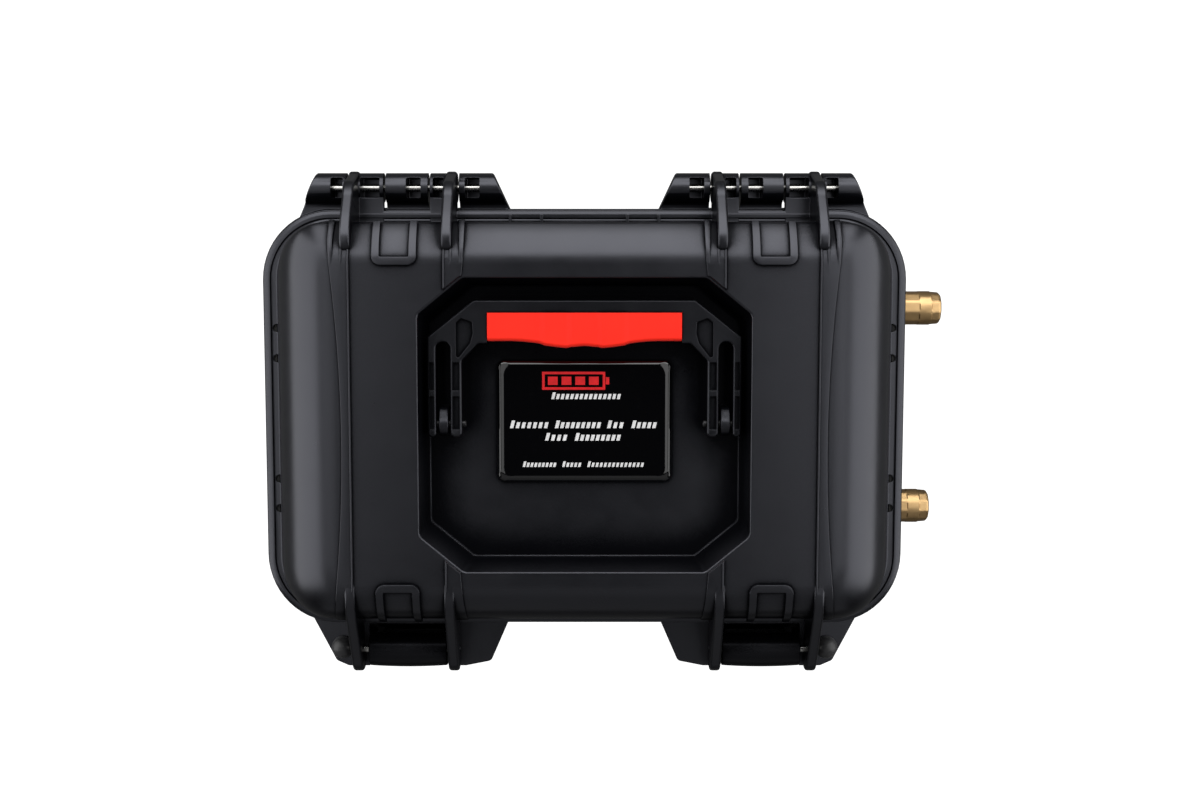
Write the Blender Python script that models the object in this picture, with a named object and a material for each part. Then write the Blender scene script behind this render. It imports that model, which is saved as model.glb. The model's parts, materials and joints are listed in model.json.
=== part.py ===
"""A sealed 12 V lithium battery pack in a hinged, latched carrying case.

Every length in this file is in millimetres and is scaled to metres when a mesh is made.
The origin is the centre of the flat underside, +Z is up, +Y is the hinge side and the
two brass posts point along +X.
"""

import math

import bmesh
import bpy
from mathutils import Matrix, Vector

MM = 0.001
GAP = 0.35  # room left between neighbouring pieces

# Case outline, as half widths along X and Y, with the corner radius in plan
FLANGE_X, FLANGE_Y, FLANGE_R = 182.0, 118.5, 40.0
WALL = 3.5
FLOOR = 4.0
RIM_Z = 130.0
PARTING_Z = RIM_Z + 0.5
LEDGE_Z = 136.5
LID_TOP_Z = 175.0

# Lid body: where it meets the ledge, and how far its shoulders roll in
FOOT_X, FOOT_Y, FOOT_R = 171.5, 110.5, 31.0
SHOULDER_X, SHOULDER_Y = 36.0, 23.0
END_DROP, SIDE_DROP = 37.0, 21.0  # the long sides roll over less deeply than the ends
TOP_R = 13.0

# Handle recess, an octagon with drafted walls
RECESS_FLOOR_Z = 150.0
RECESS_FLOOR_X, RECESS_FLOOR_Y = 86.6, 76.2
RECESS_TOP_X, RECESS_TOP_Y = 90.5, 80.5
CHAMFER_X, CHAMFER_Y = 24.4, 20.0
TUB_WALL = 3.0

# Hinges, given for the left one and mirrored
HINGE_Y, HINGE_Z = 130.0, 130.0
KNUCKLE_R = 8.3
HINGE_EAR_R = 9.2
HINGE_PIN_R = 2.0
BORE_R = HINGE_PIN_R + 0.3
BRACKET_WIDE = (-158.6, -42.4)
BRACKET_NARROW = (-150.0, -51.0)
LID_KNUCKLES = ((-132.0, -112.2), (-86.4, -71.2))
SLOT_CLEARANCE = 1.1

# Lid ears: a hinge ear and a latch ear, joined over the lid by a low strap. Each pair is
# given by its distance from the middle and the side on which its strap flares.
RIBS = ((129.0, 1), (74.4, -1))
RIB_WIDTH = 6.0
RIB_TOP_Z = 176.8
STRAP_RISE = 0.75

# Latches
LATCH_X = 100.6
LATCH_WIDTH = 44.5
LATCH_Y, LATCH_Z = -132.0, 138.0
LATCH_BARREL_R = 9.4
EAR_R = 12.5
CATCH_Y, CATCH_Z = -124.0, 111.0
SHELF_Z, LEVER_BACK_Y = 97.0, -137.3  # floor of the latch pocket, and the slot the lever hangs in
WING_TOP_Z = 129.4
PLUG_X, PLUG_Y, PLUG_R = 139.7, -133.0, 6.5

# Folding handle
HANDLE_Z = 161.0
HANDLE_HALF_THICK = 7.0
HANDLE_X, HANDLE_Y = 85.9, 68.4
GRIP_X, GRIP_TOP_Y = 53.0, 61.4
LUG_X = (74.5, 80.0)

# Label plate
LABEL_X, LABEL_Y, LABEL_THICK = 48.5, 34.0, 3.0

# Terminal posts
POST_Y, POST_Z, POST_R = 60.5, 63.0, 10.0
POST_TIP_X = {"positive": 215.0, "negative": 210.0}
STUD_R = 8.0

# Cells
CELL_X, CELL_Y, CELL_Z = 50.0, 160.0, 118.0
CELL_COUNT = 4
CELL_BLOCK_X = -25.0
CELL_FLOOR_Z = FLOOR + 3.5
TERMINAL_Y, TERMINAL_R, TERMINAL_HEIGHT = 55.0, 9.0, 3.5


# ---------------------------------------------------------------- mesh helpers

def new_object(name, bm):
    """An object made of the bmesh, scaled to metres, with its normals facing out."""
    bmesh.ops.recalc_face_normals(bm, faces=bm.faces)
    bmesh.ops.scale(bm, vec=(MM, MM, MM), verts=bm.verts)
    mesh = bpy.data.meshes.new(name)
    bm.to_mesh(mesh)
    bm.free()
    obj = bpy.data.objects.new(name, mesh)
    bpy.context.scene.collection.objects.link(obj)
    return obj


def loft(name, rings):
    """A closed solid through rings of equal point counts, capped at both ends."""
    bm = bmesh.new()
    loops = [[bm.verts.new(point) for point in ring] for ring in rings]
    for lower, upper in zip(loops, loops[1:]):
        count = len(lower)
        for i in range(count):
            j = (i + 1) % count
            bm.faces.new((lower[i], lower[j], upper[j], upper[i]))
    bm.faces.new(list(reversed(loops[0])))
    bm.faces.new(loops[-1])
    return new_object(name, bm)


def prism(name, outline, start, end, axis="Z"):
    """A prism: outline is (x, y) for axis Z, (y, z) for axis X and (x, z) for axis Y."""
    place = {
        "X": lambda u, v, w: (w, u, v),
        "Y": lambda u, v, w: (u, w, v),
        "Z": lambda u, v, w: (u, v, w),
    }[axis]
    rings = [[place(u, v, w) for u, v in outline] for w in (start, end)]
    return loft(name, rings)


def arc(centre, radius, start, end, steps):
    """Points on a circle from one angle to another, in degrees."""
    points = []
    for i in range(steps + 1):
        angle = math.radians(start + (end - start) * i / steps)
        points.append((centre[0] + radius * math.cos(angle), centre[1] + radius * math.sin(angle)))
    return points


def circle(centre, radius, sides):
    return arc(centre, radius, 0.0, 360.0, sides)[:-1]


def rod(name, centre, radius, start, end, axis="X", sides=24):
    return prism(name, circle(centre, radius, sides), start, end, axis)


def box(name, low, high, bevel=0.0):
    """A box between two corners, with its edges chamfered by bevel."""
    bm = bmesh.new()
    centre = (Vector(low) + Vector(high)) / 2
    size = Vector(high) - Vector(low)
    matrix = Matrix.Translation(centre) @ Matrix.Diagonal((*size, 1.0))
    bmesh.ops.create_cube(bm, size=1.0, matrix=matrix)
    if bevel:
        bmesh.ops.bevel(bm, geom=bm.edges, offset=bevel, segments=1, affect="EDGES")
    return new_object(name, bm)


def combine(target, tool, operation):
    """Applies an exact Boolean to the target and removes the tool."""
    modifier = target.modifiers.new(operation.lower(), "BOOLEAN")
    modifier.operation = operation
    modifier.solver = "EXACT"
    modifier.object = tool
    graph = bpy.context.evaluated_depsgraph_get()
    result = bpy.data.meshes.new_from_object(target.evaluated_get(graph))
    target.modifiers.remove(modifier)
    target.data = result
    bpy.data.objects.remove(tool)
    return target


def add(target, tool):
    return combine(target, tool, "UNION")


def cut(target, tool):
    return combine(target, tool, "DIFFERENCE")


def rounded_ring(half_x, half_y, radius, z, steps=5):
    """A rounded rectangle about the Z axis."""
    ring = []
    for side_x, side_y, start in ((1, 1, 0), (-1, 1, 90), (-1, -1, 180), (1, -1, 270)):
        centre = (side_x * (half_x - radius), side_y * (half_y - radius))
        ring.extend((x, y, z) for x, y in arc(centre, radius, start, start + 90, steps))
    return ring


def octagon_ring(half_x, half_y, z):
    """The recess outline: a rectangle with its four corners cut off."""
    near_x, near_y = half_x - CHAMFER_X, half_y - CHAMFER_Y
    corners = (
        (half_x, near_y), (near_x, half_y), (-near_x, half_y), (-half_x, near_y),
        (-half_x, -near_y), (-near_x, -half_y), (near_x, -half_y), (half_x, -near_y),
    )
    return [(x, y, z) for x, y in corners]


def mirrored_range(low, high, side):
    """The X range on the left (side -1) or its mirror image on the right (side 1)."""
    return (low, high) if side < 0 else (-high, -low)


def tube(name, path, radius, sides=10):
    """A closed round cable along a path of points, with its corners rounded."""
    curve = bpy.data.curves.new(name, "CURVE")
    curve.dimensions = "3D"
    curve.bevel_depth = radius * MM
    curve.bevel_resolution = (sides - 4) // 2
    curve.use_fill_caps = True
    curve.resolution_u = 3
    spline = curve.splines.new("BEZIER")
    spline.bezier_points.add(len(path) - 1)
    for point, place in zip(spline.bezier_points, path):
        point.co = Vector(place) * MM
        point.handle_left_type = "AUTO"
        point.handle_right_type = "AUTO"
    carrier = bpy.data.objects.new(name + "_curve", curve)
    bpy.context.scene.collection.objects.link(carrier)
    graph = bpy.context.evaluated_depsgraph_get()
    mesh = bpy.data.meshes.new_from_object(carrier.evaluated_get(graph))
    bpy.data.objects.remove(carrier)
    bm = bmesh.new()
    bm.from_mesh(mesh)
    bmesh.ops.remove_doubles(bm, verts=bm.verts, dist=1e-6)
    bmesh.ops.scale(bm, vec=(1 / MM, 1 / MM, 1 / MM), verts=bm.verts)
    return new_object(name, bm)


# ---------------------------------------------------------------- materials

def material(name, colour, roughness, metallic=0.0):
    made = bpy.data.materials.get(name)
    if made is None:
        made = bpy.data.materials.new(name)
        made.use_nodes = True
        shader = made.node_tree.nodes["Principled BSDF"]
        shader.inputs["Base Color"].default_value = (*colour, 1.0)
        shader.inputs["Roughness"].default_value = roughness
        shader.inputs["Metallic"].default_value = metallic
    return made


def finish(obj, look, smooth_angle=30.0):
    """Gives the piece its material and smooth round faces."""
    obj.data.materials.clear()
    obj.data.materials.append(material(*look))
    obj.data.shade_smooth()
    obj.data.set_sharp_from_angle(angle=math.radians(smooth_angle))
    return obj


CASE_PLASTIC = ("case_plastic", (0.018, 0.019, 0.022), 0.42)
LATCH_PLASTIC = ("latch_plastic", (0.012, 0.012, 0.014), 0.38)
HANDLE_PLASTIC = ("handle_plastic", (0.016, 0.017, 0.020), 0.40)
GRIP_RUBBER = ("grip_rubber", (0.90, 0.045, 0.025), 0.55)
LABEL_GLOSS = ("label_gloss", (0.006, 0.006, 0.007), 0.08)
SEAL_RUBBER = ("seal_rubber", (0.02, 0.02, 0.02), 0.8)
PLUG_RUBBER = ("plug_rubber", (0.03, 0.03, 0.03), 0.45)
PIN_STEEL = ("pin_steel", (0.62, 0.62, 0.60), 0.28, 1.0)
POST_BRASS = ("post_brass", (0.83, 0.62, 0.30), 0.25, 1.0)
NUT_BRASS = ("nut_brass", (0.78, 0.60, 0.32), 0.35, 1.0)
CELL_CASE = ("cell_case", (0.03, 0.10, 0.32), 0.35)
BUSBAR_COPPER = ("busbar_copper", (0.85, 0.44, 0.28), 0.3, 1.0)
SCREW_STEEL = ("screw_steel", (0.55, 0.55, 0.55), 0.35, 1.0)
CABLE_RED = ("cable_red", (0.55, 0.02, 0.02), 0.45)
CABLE_BLACK = ("cable_black", (0.02, 0.02, 0.02), 0.45)
FOAM_GREY = ("foam_grey", (0.06, 0.06, 0.065), 0.95)
PLATE_RESIN = ("plate_resin", (0.45, 0.42, 0.22), 0.5)
BMS_ALLOY = ("bms_alloy", (0.10, 0.11, 0.13), 0.45, 1.0)
FUSE_BODY = ("fuse_body", (0.50, 0.50, 0.48), 0.4)
VALVE_PLASTIC = ("valve_plastic", (0.05, 0.05, 0.05), 0.5)
HARNESS_SLEEVE = ("harness_sleeve", (0.50, 0.42, 0.05), 0.6)


# ---------------------------------------------------------------- base shell

def base_outer():
    """The outside of the lower shell, up to its flange."""
    low_x, low_y, edge = 168.0, 105.0, 8.0
    rings = []
    for inset, z in [(edge - x, y + edge) for x, y in arc((0, 0), edge, 270, 360, 3)]:
        rings.append(rounded_ring(low_x - inset, low_y - inset, 30.0 - inset, z))
    rings.append(rounded_ring(171.0, 108.5, 31.0, 116.0))
    rings.append(rounded_ring(FLANGE_X - 1.2, FLANGE_Y - 1.2, FLANGE_R - 1.2, 119.8))
    rings.append(rounded_ring(FLANGE_X, FLANGE_Y, FLANGE_R, 121.2))
    rings.append(rounded_ring(FLANGE_X, FLANGE_Y, FLANGE_R, RIM_Z - 1.0))
    rings.append(rounded_ring(FLANGE_X - 1.0, FLANGE_Y - 1.0, FLANGE_R - 1.0, RIM_Z))
    return loft("base_shell", rings)


def base_cavity():
    rings = [
        rounded_ring(168 - WALL - 4, 105 - WALL - 4, 22.5, FLOOR),
        rounded_ring(168 - WALL, 105 - WALL, 26.5, FLOOR + 5),
        rounded_ring(171 - WALL, 108.5 - WALL, 27.5, RIM_Z + 2),
    ]
    return loft("base_cavity", rings)


def rim_band(name, outer_inset, inner_inset, low, high):
    """A closed band that follows the flange, between two insets from its edge."""
    outer = loft(name, [
        rounded_ring(FLANGE_X - outer_inset, FLANGE_Y - outer_inset, FLANGE_R - outer_inset, z)
        for z in (low, high)
    ])
    inner = loft(name + "_inner", [
        rounded_ring(FLANGE_X - inner_inset, FLANGE_Y - inner_inset, FLANGE_R - inner_inset, z)
        for z in (low - 1, high + 1)
    ])
    return cut(outer, inner)


def hinge_bracket(side):
    """The base's half of one hinge: a barrel on a web, narrower towards its edge."""
    outline = [(119.2, 129.3), (101.0, 129.3), (101.0, 98.0), (118.0, 104.0)]
    outline += arc((HINGE_Y, HINGE_Z), KNUCKLE_R, -50, 175, 9)

    def ends(y):
        share = min(max((y - FLANGE_Y) / (HINGE_Y + KNUCKLE_R - FLANGE_Y), 0.0), 1.0)
        low = BRACKET_WIDE[0] + (BRACKET_NARROW[0] - BRACKET_WIDE[0]) * share
        high = BRACKET_WIDE[1] + (BRACKET_NARROW[1] - BRACKET_WIDE[1]) * share
        return mirrored_range(low, high, side)

    rings = [[(ends(y)[end], y, z) for y, z in outline] for end in (0, 1)]
    return loft("hinge_bracket", rings)


def hinge_cuts(side):
    """Slots for the lid's knuckles, the pin's bore and the openings that show the pin."""
    tools = []
    for low, high in LID_KNUCKLES:
        low, high = mirrored_range(low - SLOT_CLEARANCE, high + SLOT_CLEARANCE, side)
        tools.append(box("slot", (low, FLANGE_Y + 0.6, 90.0), (high, 145.0, 145.0)))
    for low, high in ((-141.6, -134.9), (-99.6, -91.4), (-66.8, -58.6)):
        low, high = mirrored_range(low, high, side)
        tools.append(box("window", (low, 124.3, 123.5), (high, 135.6, 145.0)))
    low, high = mirrored_range(-162.0, -44.0, side)
    tools.append(rod("bore", (HINGE_Y, HINGE_Z), BORE_R, low, high, sides=12))
    return tools


def latch_wing(side):
    """The guard around one latch, sloped underneath, with a pocket for the lever."""
    plan = [(-156.5, -116.0), (-143.5, -141.2), (-136.5, -144.3), (-68.6, -144.3),
            (-54.0, -141.4), (-43.0, -116.0), (-43.0, -101.0), (-156.5, -101.0)]
    plan = [(x * -side, y) for x, y in plan]
    wing = prism("latch_wing", plan, 68.0, WING_TOP_Z)
    slope = prism("slope", [(-95, 60), (-95, 70), (-146, 98), (-150, 98), (-150, 60)], -170, 170, "X")
    cut(wing, slope)
    half = LATCH_WIDTH / 2 + 1.6
    centre = LATCH_X * side
    cut(wing, box("pocket", (centre - half, -150, SHELF_Z), (centre + half, -FLANGE_Y - 0.6, 140)))
    cut(wing, box("lever_bay", (centre - half, -150, 60), (centre + half, LEVER_BACK_Y, SHELF_Z + 12)))
    return wing


def latch_catch(side):
    """The step behind the lever, across the whole pocket, that the lever's nose passes."""
    centre, half = LATCH_X * side, LATCH_WIDTH / 2 + 2.4
    outline = [(-114.0, CATCH_Z - 27), (-114.0, CATCH_Z + 10), (-121.5, CATCH_Z + 10)]
    outline += [(CATCH_Y, CATCH_Z + 6.5), (CATCH_Y, CATCH_Z - 21), (-119.0, CATCH_Z - 27)]
    return prism("latch_catch", outline, centre - half, centre + half, "X")


def wall_ribs():
    """Upright ribs under the flange on the back wall and the two end walls."""
    low, high, half = 26.0, 118.4, 1.4
    ribs = []
    for place in (-30.0, 0.0, 30.0):
        ribs.append(box("rib", (place - half, 103.5, low), (place + half, 112.5, high), 0.6))
        for side in (-1, 1):
            start, end = sorted((side * 166.5, side * 174.5))
            ribs.append(box("rib", (start, place - half, low), (end, place + half, high), 0.6))
    return ribs


def base_shell():
    shell = base_outer()
    for rib in wall_ribs():
        add(shell, rib)
    for side in (-1, 1):
        add(shell, hinge_bracket(side))
        add(shell, latch_wing(side))
        add(shell, latch_catch(side))
    cut(shell, base_cavity())
    add(shell, rim_band("tongue", 5.1, 7.5, RIM_Z - 1, RIM_Z + 1.6))
    for side in (-1, 1):
        for tool in hinge_cuts(side):
            cut(shell, tool)
        cut(shell, rod("plug_hole", (PLUG_X * side, PLUG_Y), 4.0 + GAP, 112, 140, "Z", 16))
    for y in (-POST_Y, POST_Y):
        cut(shell, rod("post_hole", (y, POST_Z), STUD_R + GAP, 150, 190, "X", 16))
    cut(shell, rod("valve_hole", (0, 95.0), 6.0 + GAP, -120, -90, "Y", 20))
    return finish(shell, CASE_PLASTIC)


# ---------------------------------------------------------------- lid shell

def facing(x, y, half_x, half_y, radius):
    """How far a point of a rounded rectangle faces along Y (1) rather than along X (0)."""
    over_x = max(abs(x) - (half_x - radius), 0.0)
    over_y = max(abs(y) - (half_y - radius), 0.0)
    return over_y * over_y / (over_x * over_x + over_y * over_y)


def shoulder_rings(foot_x, foot_y, foot_r, top, steps):
    """Rings up the rolled shoulder: a quarter ellipse, deeper at the ends than on the long sides."""
    rings = []
    for i in range(steps + 1):
        angle = math.radians(90 * i / steps)
        share = 1 - math.cos(angle)
        radius = foot_r + (TOP_R - foot_r) * share
        section = (foot_x - SHOULDER_X * share, foot_y - SHOULDER_Y * share, radius)
        ring = []
        for x, y, _ in rounded_ring(*section, 0.0):
            drop = END_DROP + (SIDE_DROP - END_DROP) * facing(x, y, *section)
            ring.append((x, y, top - drop * (1 - math.sin(angle))))
        rings.append(ring)
    return rings


def lid_outer():
    edge, inset = 2.2, 1.2
    rings = [rounded_ring(FLANGE_X - inset, FLANGE_Y - inset, FLANGE_R - inset, PARTING_Z)]
    for x, y in arc((0, 0), edge, 0, 90, 3):
        step = inset + edge - x
        rings.append(rounded_ring(FLANGE_X - step, FLANGE_Y - step, FLANGE_R - step, LEDGE_Z - edge + y))
    rings.append(rounded_ring(FOOT_X, FOOT_Y, FOOT_R, LEDGE_Z))
    rings += shoulder_rings(FOOT_X, FOOT_Y, FOOT_R, LID_TOP_Z, 6)
    return loft("lid_shell", rings)


def lid_cavity():
    """The hollow under the lid, leaving the walls of the handle recess."""
    inner = 3.2
    rings = [rounded_ring(FOOT_X - inner, FOOT_Y - inner, FOOT_R - inner, PARTING_Z - 1)]
    rings += shoulder_rings(FOOT_X - inner, FOOT_Y - inner, FOOT_R - inner, LID_TOP_Z - inner, 4)
    cavity = loft("lid_cavity", rings)
    drop = RECESS_FLOOR_Z - TUB_WALL
    tub = loft("tub", [
        octagon_ring(RECESS_FLOOR_X + TUB_WALL, RECESS_FLOOR_Y + TUB_WALL, drop),
        octagon_ring(RECESS_TOP_X + TUB_WALL, RECESS_TOP_Y + TUB_WALL, LID_TOP_Z + 1),
    ])
    return cut(cavity, tub)


def recess():
    rise = LID_TOP_Z - RECESS_FLOOR_Z
    over = 4.0
    slope_x = (RECESS_TOP_X - RECESS_FLOOR_X) / rise
    slope_y = (RECESS_TOP_Y - RECESS_FLOOR_Y) / rise
    return loft("recess", [
        octagon_ring(RECESS_FLOOR_X, RECESS_FLOOR_Y, RECESS_FLOOR_Z),
        octagon_ring(RECESS_TOP_X + slope_x * over, RECESS_TOP_Y + slope_y * over, LID_TOP_Z + over),
    ])


def hinge_ear(x):
    """One ear at a hinge: its barrel, its slope and its nose on the lid."""
    outline = arc((HINGE_Y, HINGE_Z), HINGE_EAR_R, 173, 395, 10)
    outline += [(138.0, 139.0), (132.9, 154.8), (124.6, 162.5), (117.0, 168.8), (109.5, 174.3)]
    outline += [(101.5, RIB_TOP_Z), (96.4, RIB_TOP_Z - 1.4), (94.0, RIB_TOP_Z - 4.0)]
    outline += [(94.0, 166.0), (104.0, 160.0), (104.0, 138.0)]
    half = RIB_WIDTH / 2
    return prism("hinge_ear", outline, x - half, x + half, "X")


def latch_ear(x):
    """One ear at a latch: it rises from the strap and runs down to the latch pin."""
    outline = [(-82.0, 168.0), (-82.0, 173.2), (-85.5, 174.7), (-93.0, 175.8)]
    outline += [(-101.5, 174.2), (-106.0, 172.2), (-110.5, 169.2)]
    outline += arc((LATCH_Y, LATCH_Z), EAR_R, 122, 213, 7)
    outline += [(-118.5, 137.0), (-104.0, 138.0), (-98.0, 160.0)]
    half = RIB_WIDTH / 2
    return prism("latch_ear", outline, x - half, x + half, "X")


def strap(x, outward):
    """The low band between two ears, narrowest halfway and straight on its inner side."""
    narrow, flare, waist = 3.3, 0.0006, -8.0
    straight = [(x - outward * 2.0, y) for y in (-91.0, 91.0)]
    flared = []
    for i in range(9):
        y = 91.0 - 182.0 * i / 8
        flared.append((x + outward * (narrow + flare * (y - waist) ** 2), y))
    return prism("strap", straight + flared, LID_TOP_Z - 2.0, LID_TOP_Z + STRAP_RISE)


def lid_knuckle(low, high):
    """A hinge barrel on an arm over the flange."""
    outline = [(104.0, 136.2), (104.0, 131.2)]
    outline += arc((HINGE_Y, HINGE_Z), KNUCKLE_R, 173, 490, 13)
    return prism("lid_knuckle", outline, low, high, "X")


def shoulder_band(low, high, inner_y, raise_by, end):
    """A raised band along the front or back shoulder, from its foot up to inner_y."""
    points = []
    for i in range(1, 6):
        angle = math.radians(90 * i / 5)
        y = FOOT_Y - SHOULDER_Y * (1 - math.cos(angle)) + raise_by * math.cos(angle)
        z = LID_TOP_Z - SIDE_DROP * (1 - math.sin(angle)) + raise_by * math.sin(angle)
        points.append((y, z))
    points = [p for p in points if p[0] > inner_y]
    points.append((inner_y, LID_TOP_Z + raise_by))
    points += [(inner_y, LID_TOP_Z - 2), (points[0][0] - 6, points[0][1])]
    return prism("shoulder_band", [(y * end, z) for y, z in points], low, high, "X")


def stacking_boss(lid, side, end):
    """A raised U that keys into the underside of a case stacked on top."""
    low, high = mirrored_range(-114.75, -90.45, side)
    leg, bar, raise_by, inner_y = 4.3, 4.3, 1.6, 87.3
    add(lid, shoulder_band(low, low + leg, inner_y, raise_by, end))
    add(lid, shoulder_band(high - leg, high, inner_y, raise_by, end))
    bar_range = sorted((end * inner_y, end * (inner_y + bar)))
    add(lid, box("bar", (low + 1, bar_range[0], 172), (high - 1, bar_range[1], LID_TOP_Z + raise_by - 0.05)))


def handle_lug(side):
    """An upright pivot lug with a long tail that fills the fork's slot."""
    floor, radius, tail = RECESS_FLOOR_Z - 1.5, 6.6, 9.3
    outline = [(-radius, floor), (tail, floor), (tail, HANDLE_Z + 1.6), (tail - 0.8, HANDLE_Z + 3.4)]
    outline += [(tail - 2.6, HANDLE_Z + 4.6)]
    outline += arc((0, HANDLE_Z), radius, 52, 180, 6)
    low, high = mirrored_range(-LUG_X[1], -LUG_X[0], side)
    return prism("handle_lug", outline, low, high, "X")


def lid_shell():
    shell = lid_outer()
    for side in (-1, 1):
        for distance, flare in RIBS:
            x = side * distance
            add(shell, strap(x, side * flare))
            add(shell, hinge_ear(x))
            add(shell, latch_ear(x))
        for low, high in LID_KNUCKLES:
            low, high = mirrored_range(low, high, side)
            add(shell, lid_knuckle(low, high))
        for end in (-1, 1):
            stacking_boss(shell, side, end)
    cut(shell, lid_cavity())
    cut(shell, recess())
    for side in (-1, 1):
        add(shell, handle_lug(side))
    cut(shell, rim_band("gasket_groove", 4.0, 8.6, PARTING_Z - 1, PARTING_Z + 4))
    for side in (-1, 1):
        low, high = mirrored_range(-162.0, -44.0, side)
        cut(shell, rod("hinge_bore", (HINGE_Y, HINGE_Z), BORE_R, low, high, sides=12))
        cut(shell, rod("latch_bore", (LATCH_Y, LATCH_Z), BORE_R, low, high, sides=12))
        low, high = mirrored_range(-88.0, -62.0, side)
        cut(shell, rod("handle_bore", (0, HANDLE_Z), BORE_R, low, high, sides=12))
        for low, high in ((-125.2, -114.4), (-84.6, -78.6)):
            low, high = mirrored_range(low, high, side)
            cut(shell, box("window", (low, 124.3, 123.5), (high, 135.6, 145.0)))
    return finish(shell, CASE_PLASTIC)


def lid_gasket():
    gasket = rim_band("lid_gasket", 4.4, 8.2, RIM_Z + 2.0, PARTING_Z + 3.7)
    return finish(gasket, SEAL_RUBBER)


def hinge_pin(name, side):
    low, high = mirrored_range(-150.5, -55.8, side)
    return finish(rod(name, (HINGE_Y, HINGE_Z), HINGE_PIN_R, low, high, sides=12), PIN_STEEL)


# ---------------------------------------------------------------- latches

def latch_lever(name, side):
    """A barrel between the lid's ears, a lever down the front and a nose for the catch."""
    half = LATCH_WIDTH / 2
    centre = LATCH_X * side
    outline = arc((LATCH_Y, LATCH_Z), LATCH_BARREL_R, -20, 178, 12)
    outline += [(-143.0, 126.0), (-144.2, 108.0), (-143.6, 92.0), (-140.4, 90.0), (-138.6, 92.0)]
    outline += [(-139.0, 101.0), (-126.0, 101.6), (CATCH_Y - 1.0, 103.5), (CATCH_Y - 1.0, 107.0)]
    outline += [(-127.0, 109.0), (-138.6, 110.0), (-138.0, 122.0), (-130.0, 129.0)]
    lever = prism(name, outline, centre - half, centre + half, "X")
    for edge in (-1, 1):
        low, high = sorted((centre + edge * 17.5, centre + edge * (half + 2)))
        cut(lever, box("nose_end", (low, -137.8, 98), (high, -118, 112)))
    cut(lever, rod("bore", (LATCH_Y, LATCH_Z), BORE_R, centre - 40, centre + 40, sides=12))
    return finish(lever, LATCH_PLASTIC)


def latch_pin(name, side):
    low, high = mirrored_range(-131.6, -71.8, side)
    return finish(rod(name, (LATCH_Y, LATCH_Z), HINGE_PIN_R, low, high, sides=12), PIN_STEEL)


def lock_plug(name, side):
    """A domed rubber plug that closes one padlock eye."""
    profile = [(0.0, 116.0), (3.6, 116.0), (4.0, 117.0), (4.0, WING_TOP_Z + GAP)]
    profile += [(PLUG_R, WING_TOP_Z + GAP)]
    dome_z = WING_TOP_Z + GAP + 0.6
    profile += [(x, dome_z + z) for x, z in arc((0, 0), PLUG_R, 0, 72, 3)]
    profile += [(0.0, dome_z + PLUG_R)]
    return finish(turned(name, (PLUG_X * side, PLUG_Y, 0.0), profile, "Z", 16), PLUG_RUBBER)


def turned(name, centre, profile, axis, sides):
    """A solid of revolution: profile is (radius, distance along the axis), end to end."""
    place = {
        "X": lambda u, v, w: (w, u, v),
        "Z": lambda u, v, w: (u, v, w),
    }[axis]
    bm = bmesh.new()
    origin = Vector(centre)
    loops = []
    for radius, along in profile:
        if radius == 0.0:
            loops.append([bm.verts.new(origin + Vector(place(0.0, 0.0, along)))])
        else:
            loops.append([
                bm.verts.new(origin + Vector(place(u, v, along))) for u, v in circle((0, 0), radius, sides)
            ])
    for first, second in zip(loops, loops[1:]):
        for i in range(sides):
            j = (i + 1) % sides
            corners = [first[i % len(first)], first[j % len(first)]]
            corners += [second[j % len(second)], second[i % len(second)]]
            bm.faces.new(list(dict.fromkeys(corners)))
    return new_object(name, bm)


# ---------------------------------------------------------------- handle and label

def handle_outline():
    """Half of the handle in plan, from the middle of its bar round the forked arm."""
    end = -6.7
    half = [(60.5, HANDLE_Y), (HANDLE_X, 48.2), (HANDLE_X, end + 1.2), (HANDLE_X - 1.2, end)]
    half += [(82.3, end), (81.1, end + 1.2)]
    half += arc((77.3, 41.7), 3.8, 0, 180, 6)
    half += [(73.5, end + 1.2), (72.3, end), (68.3, end), (67.1, end + 1.2)]
    half += [(67.1, 35.0), (58.0, 44.6)]
    left = [(-x, y) for x, y in reversed(half)]
    return half + left


def handle_frame():
    low, high = HANDLE_Z - HANDLE_HALF_THICK, HANDLE_Z + HANDLE_HALF_THICK
    frame = prism("handle_frame", handle_outline(), low, high)
    core = 4.8
    reach = GRIP_X + GAP
    rail_y = GRIP_TOP_Y + GAP
    cut(frame, box("above", (-reach, 30, HANDLE_Z + core), (reach, rail_y, high + 5)))
    cut(frame, box("below", (-reach, 30, low - 5), (reach, rail_y, HANDLE_Z - core)))
    cut(frame, box("front", (-reach, 30, low - 5), (reach, 48.6, high + 5)))
    cut(frame, rod("bore", (0, HANDLE_Z), BORE_R, -90, 90, sides=12))
    return finish(frame, HANDLE_PLASTIC)


def grip_edge(x):
    """How far the grip's finger side stands from the pivot, in plan."""
    swell = 0.5 * (1 + math.cos(math.pi * min(abs(x) / 40.0, 1.0)))
    return 45.8 - 3.9 * swell + 1.1 * math.exp(-(x / 5.0) ** 2)


def handle_grip():
    """A soft sleeve round three sides of the bar."""
    count = 20
    edge = [-GRIP_X + 2 * GRIP_X * i / count for i in range(count + 1)]
    outline = [(x, grip_edge(x)) for x in edge]
    outline += [(GRIP_X, GRIP_TOP_Y), (-GRIP_X, GRIP_TOP_Y)]
    thick = 8.1
    grip = prism("handle_grip", outline, HANDLE_Z - thick, HANDLE_Z + thick)
    core = 4.8 + GAP
    cut(grip, box("slot", (-60, 48.6 - GAP, HANDLE_Z - core), (60, 70, HANDLE_Z + core)))
    return finish(grip, GRIP_RUBBER)


def handle_pin(name, side):
    low, high = mirrored_range(-85.6, -65.2, side)
    return finish(rod(name, (0, HANDLE_Z), HINGE_PIN_R, low, high, sides=12), PIN_STEEL)


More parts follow.
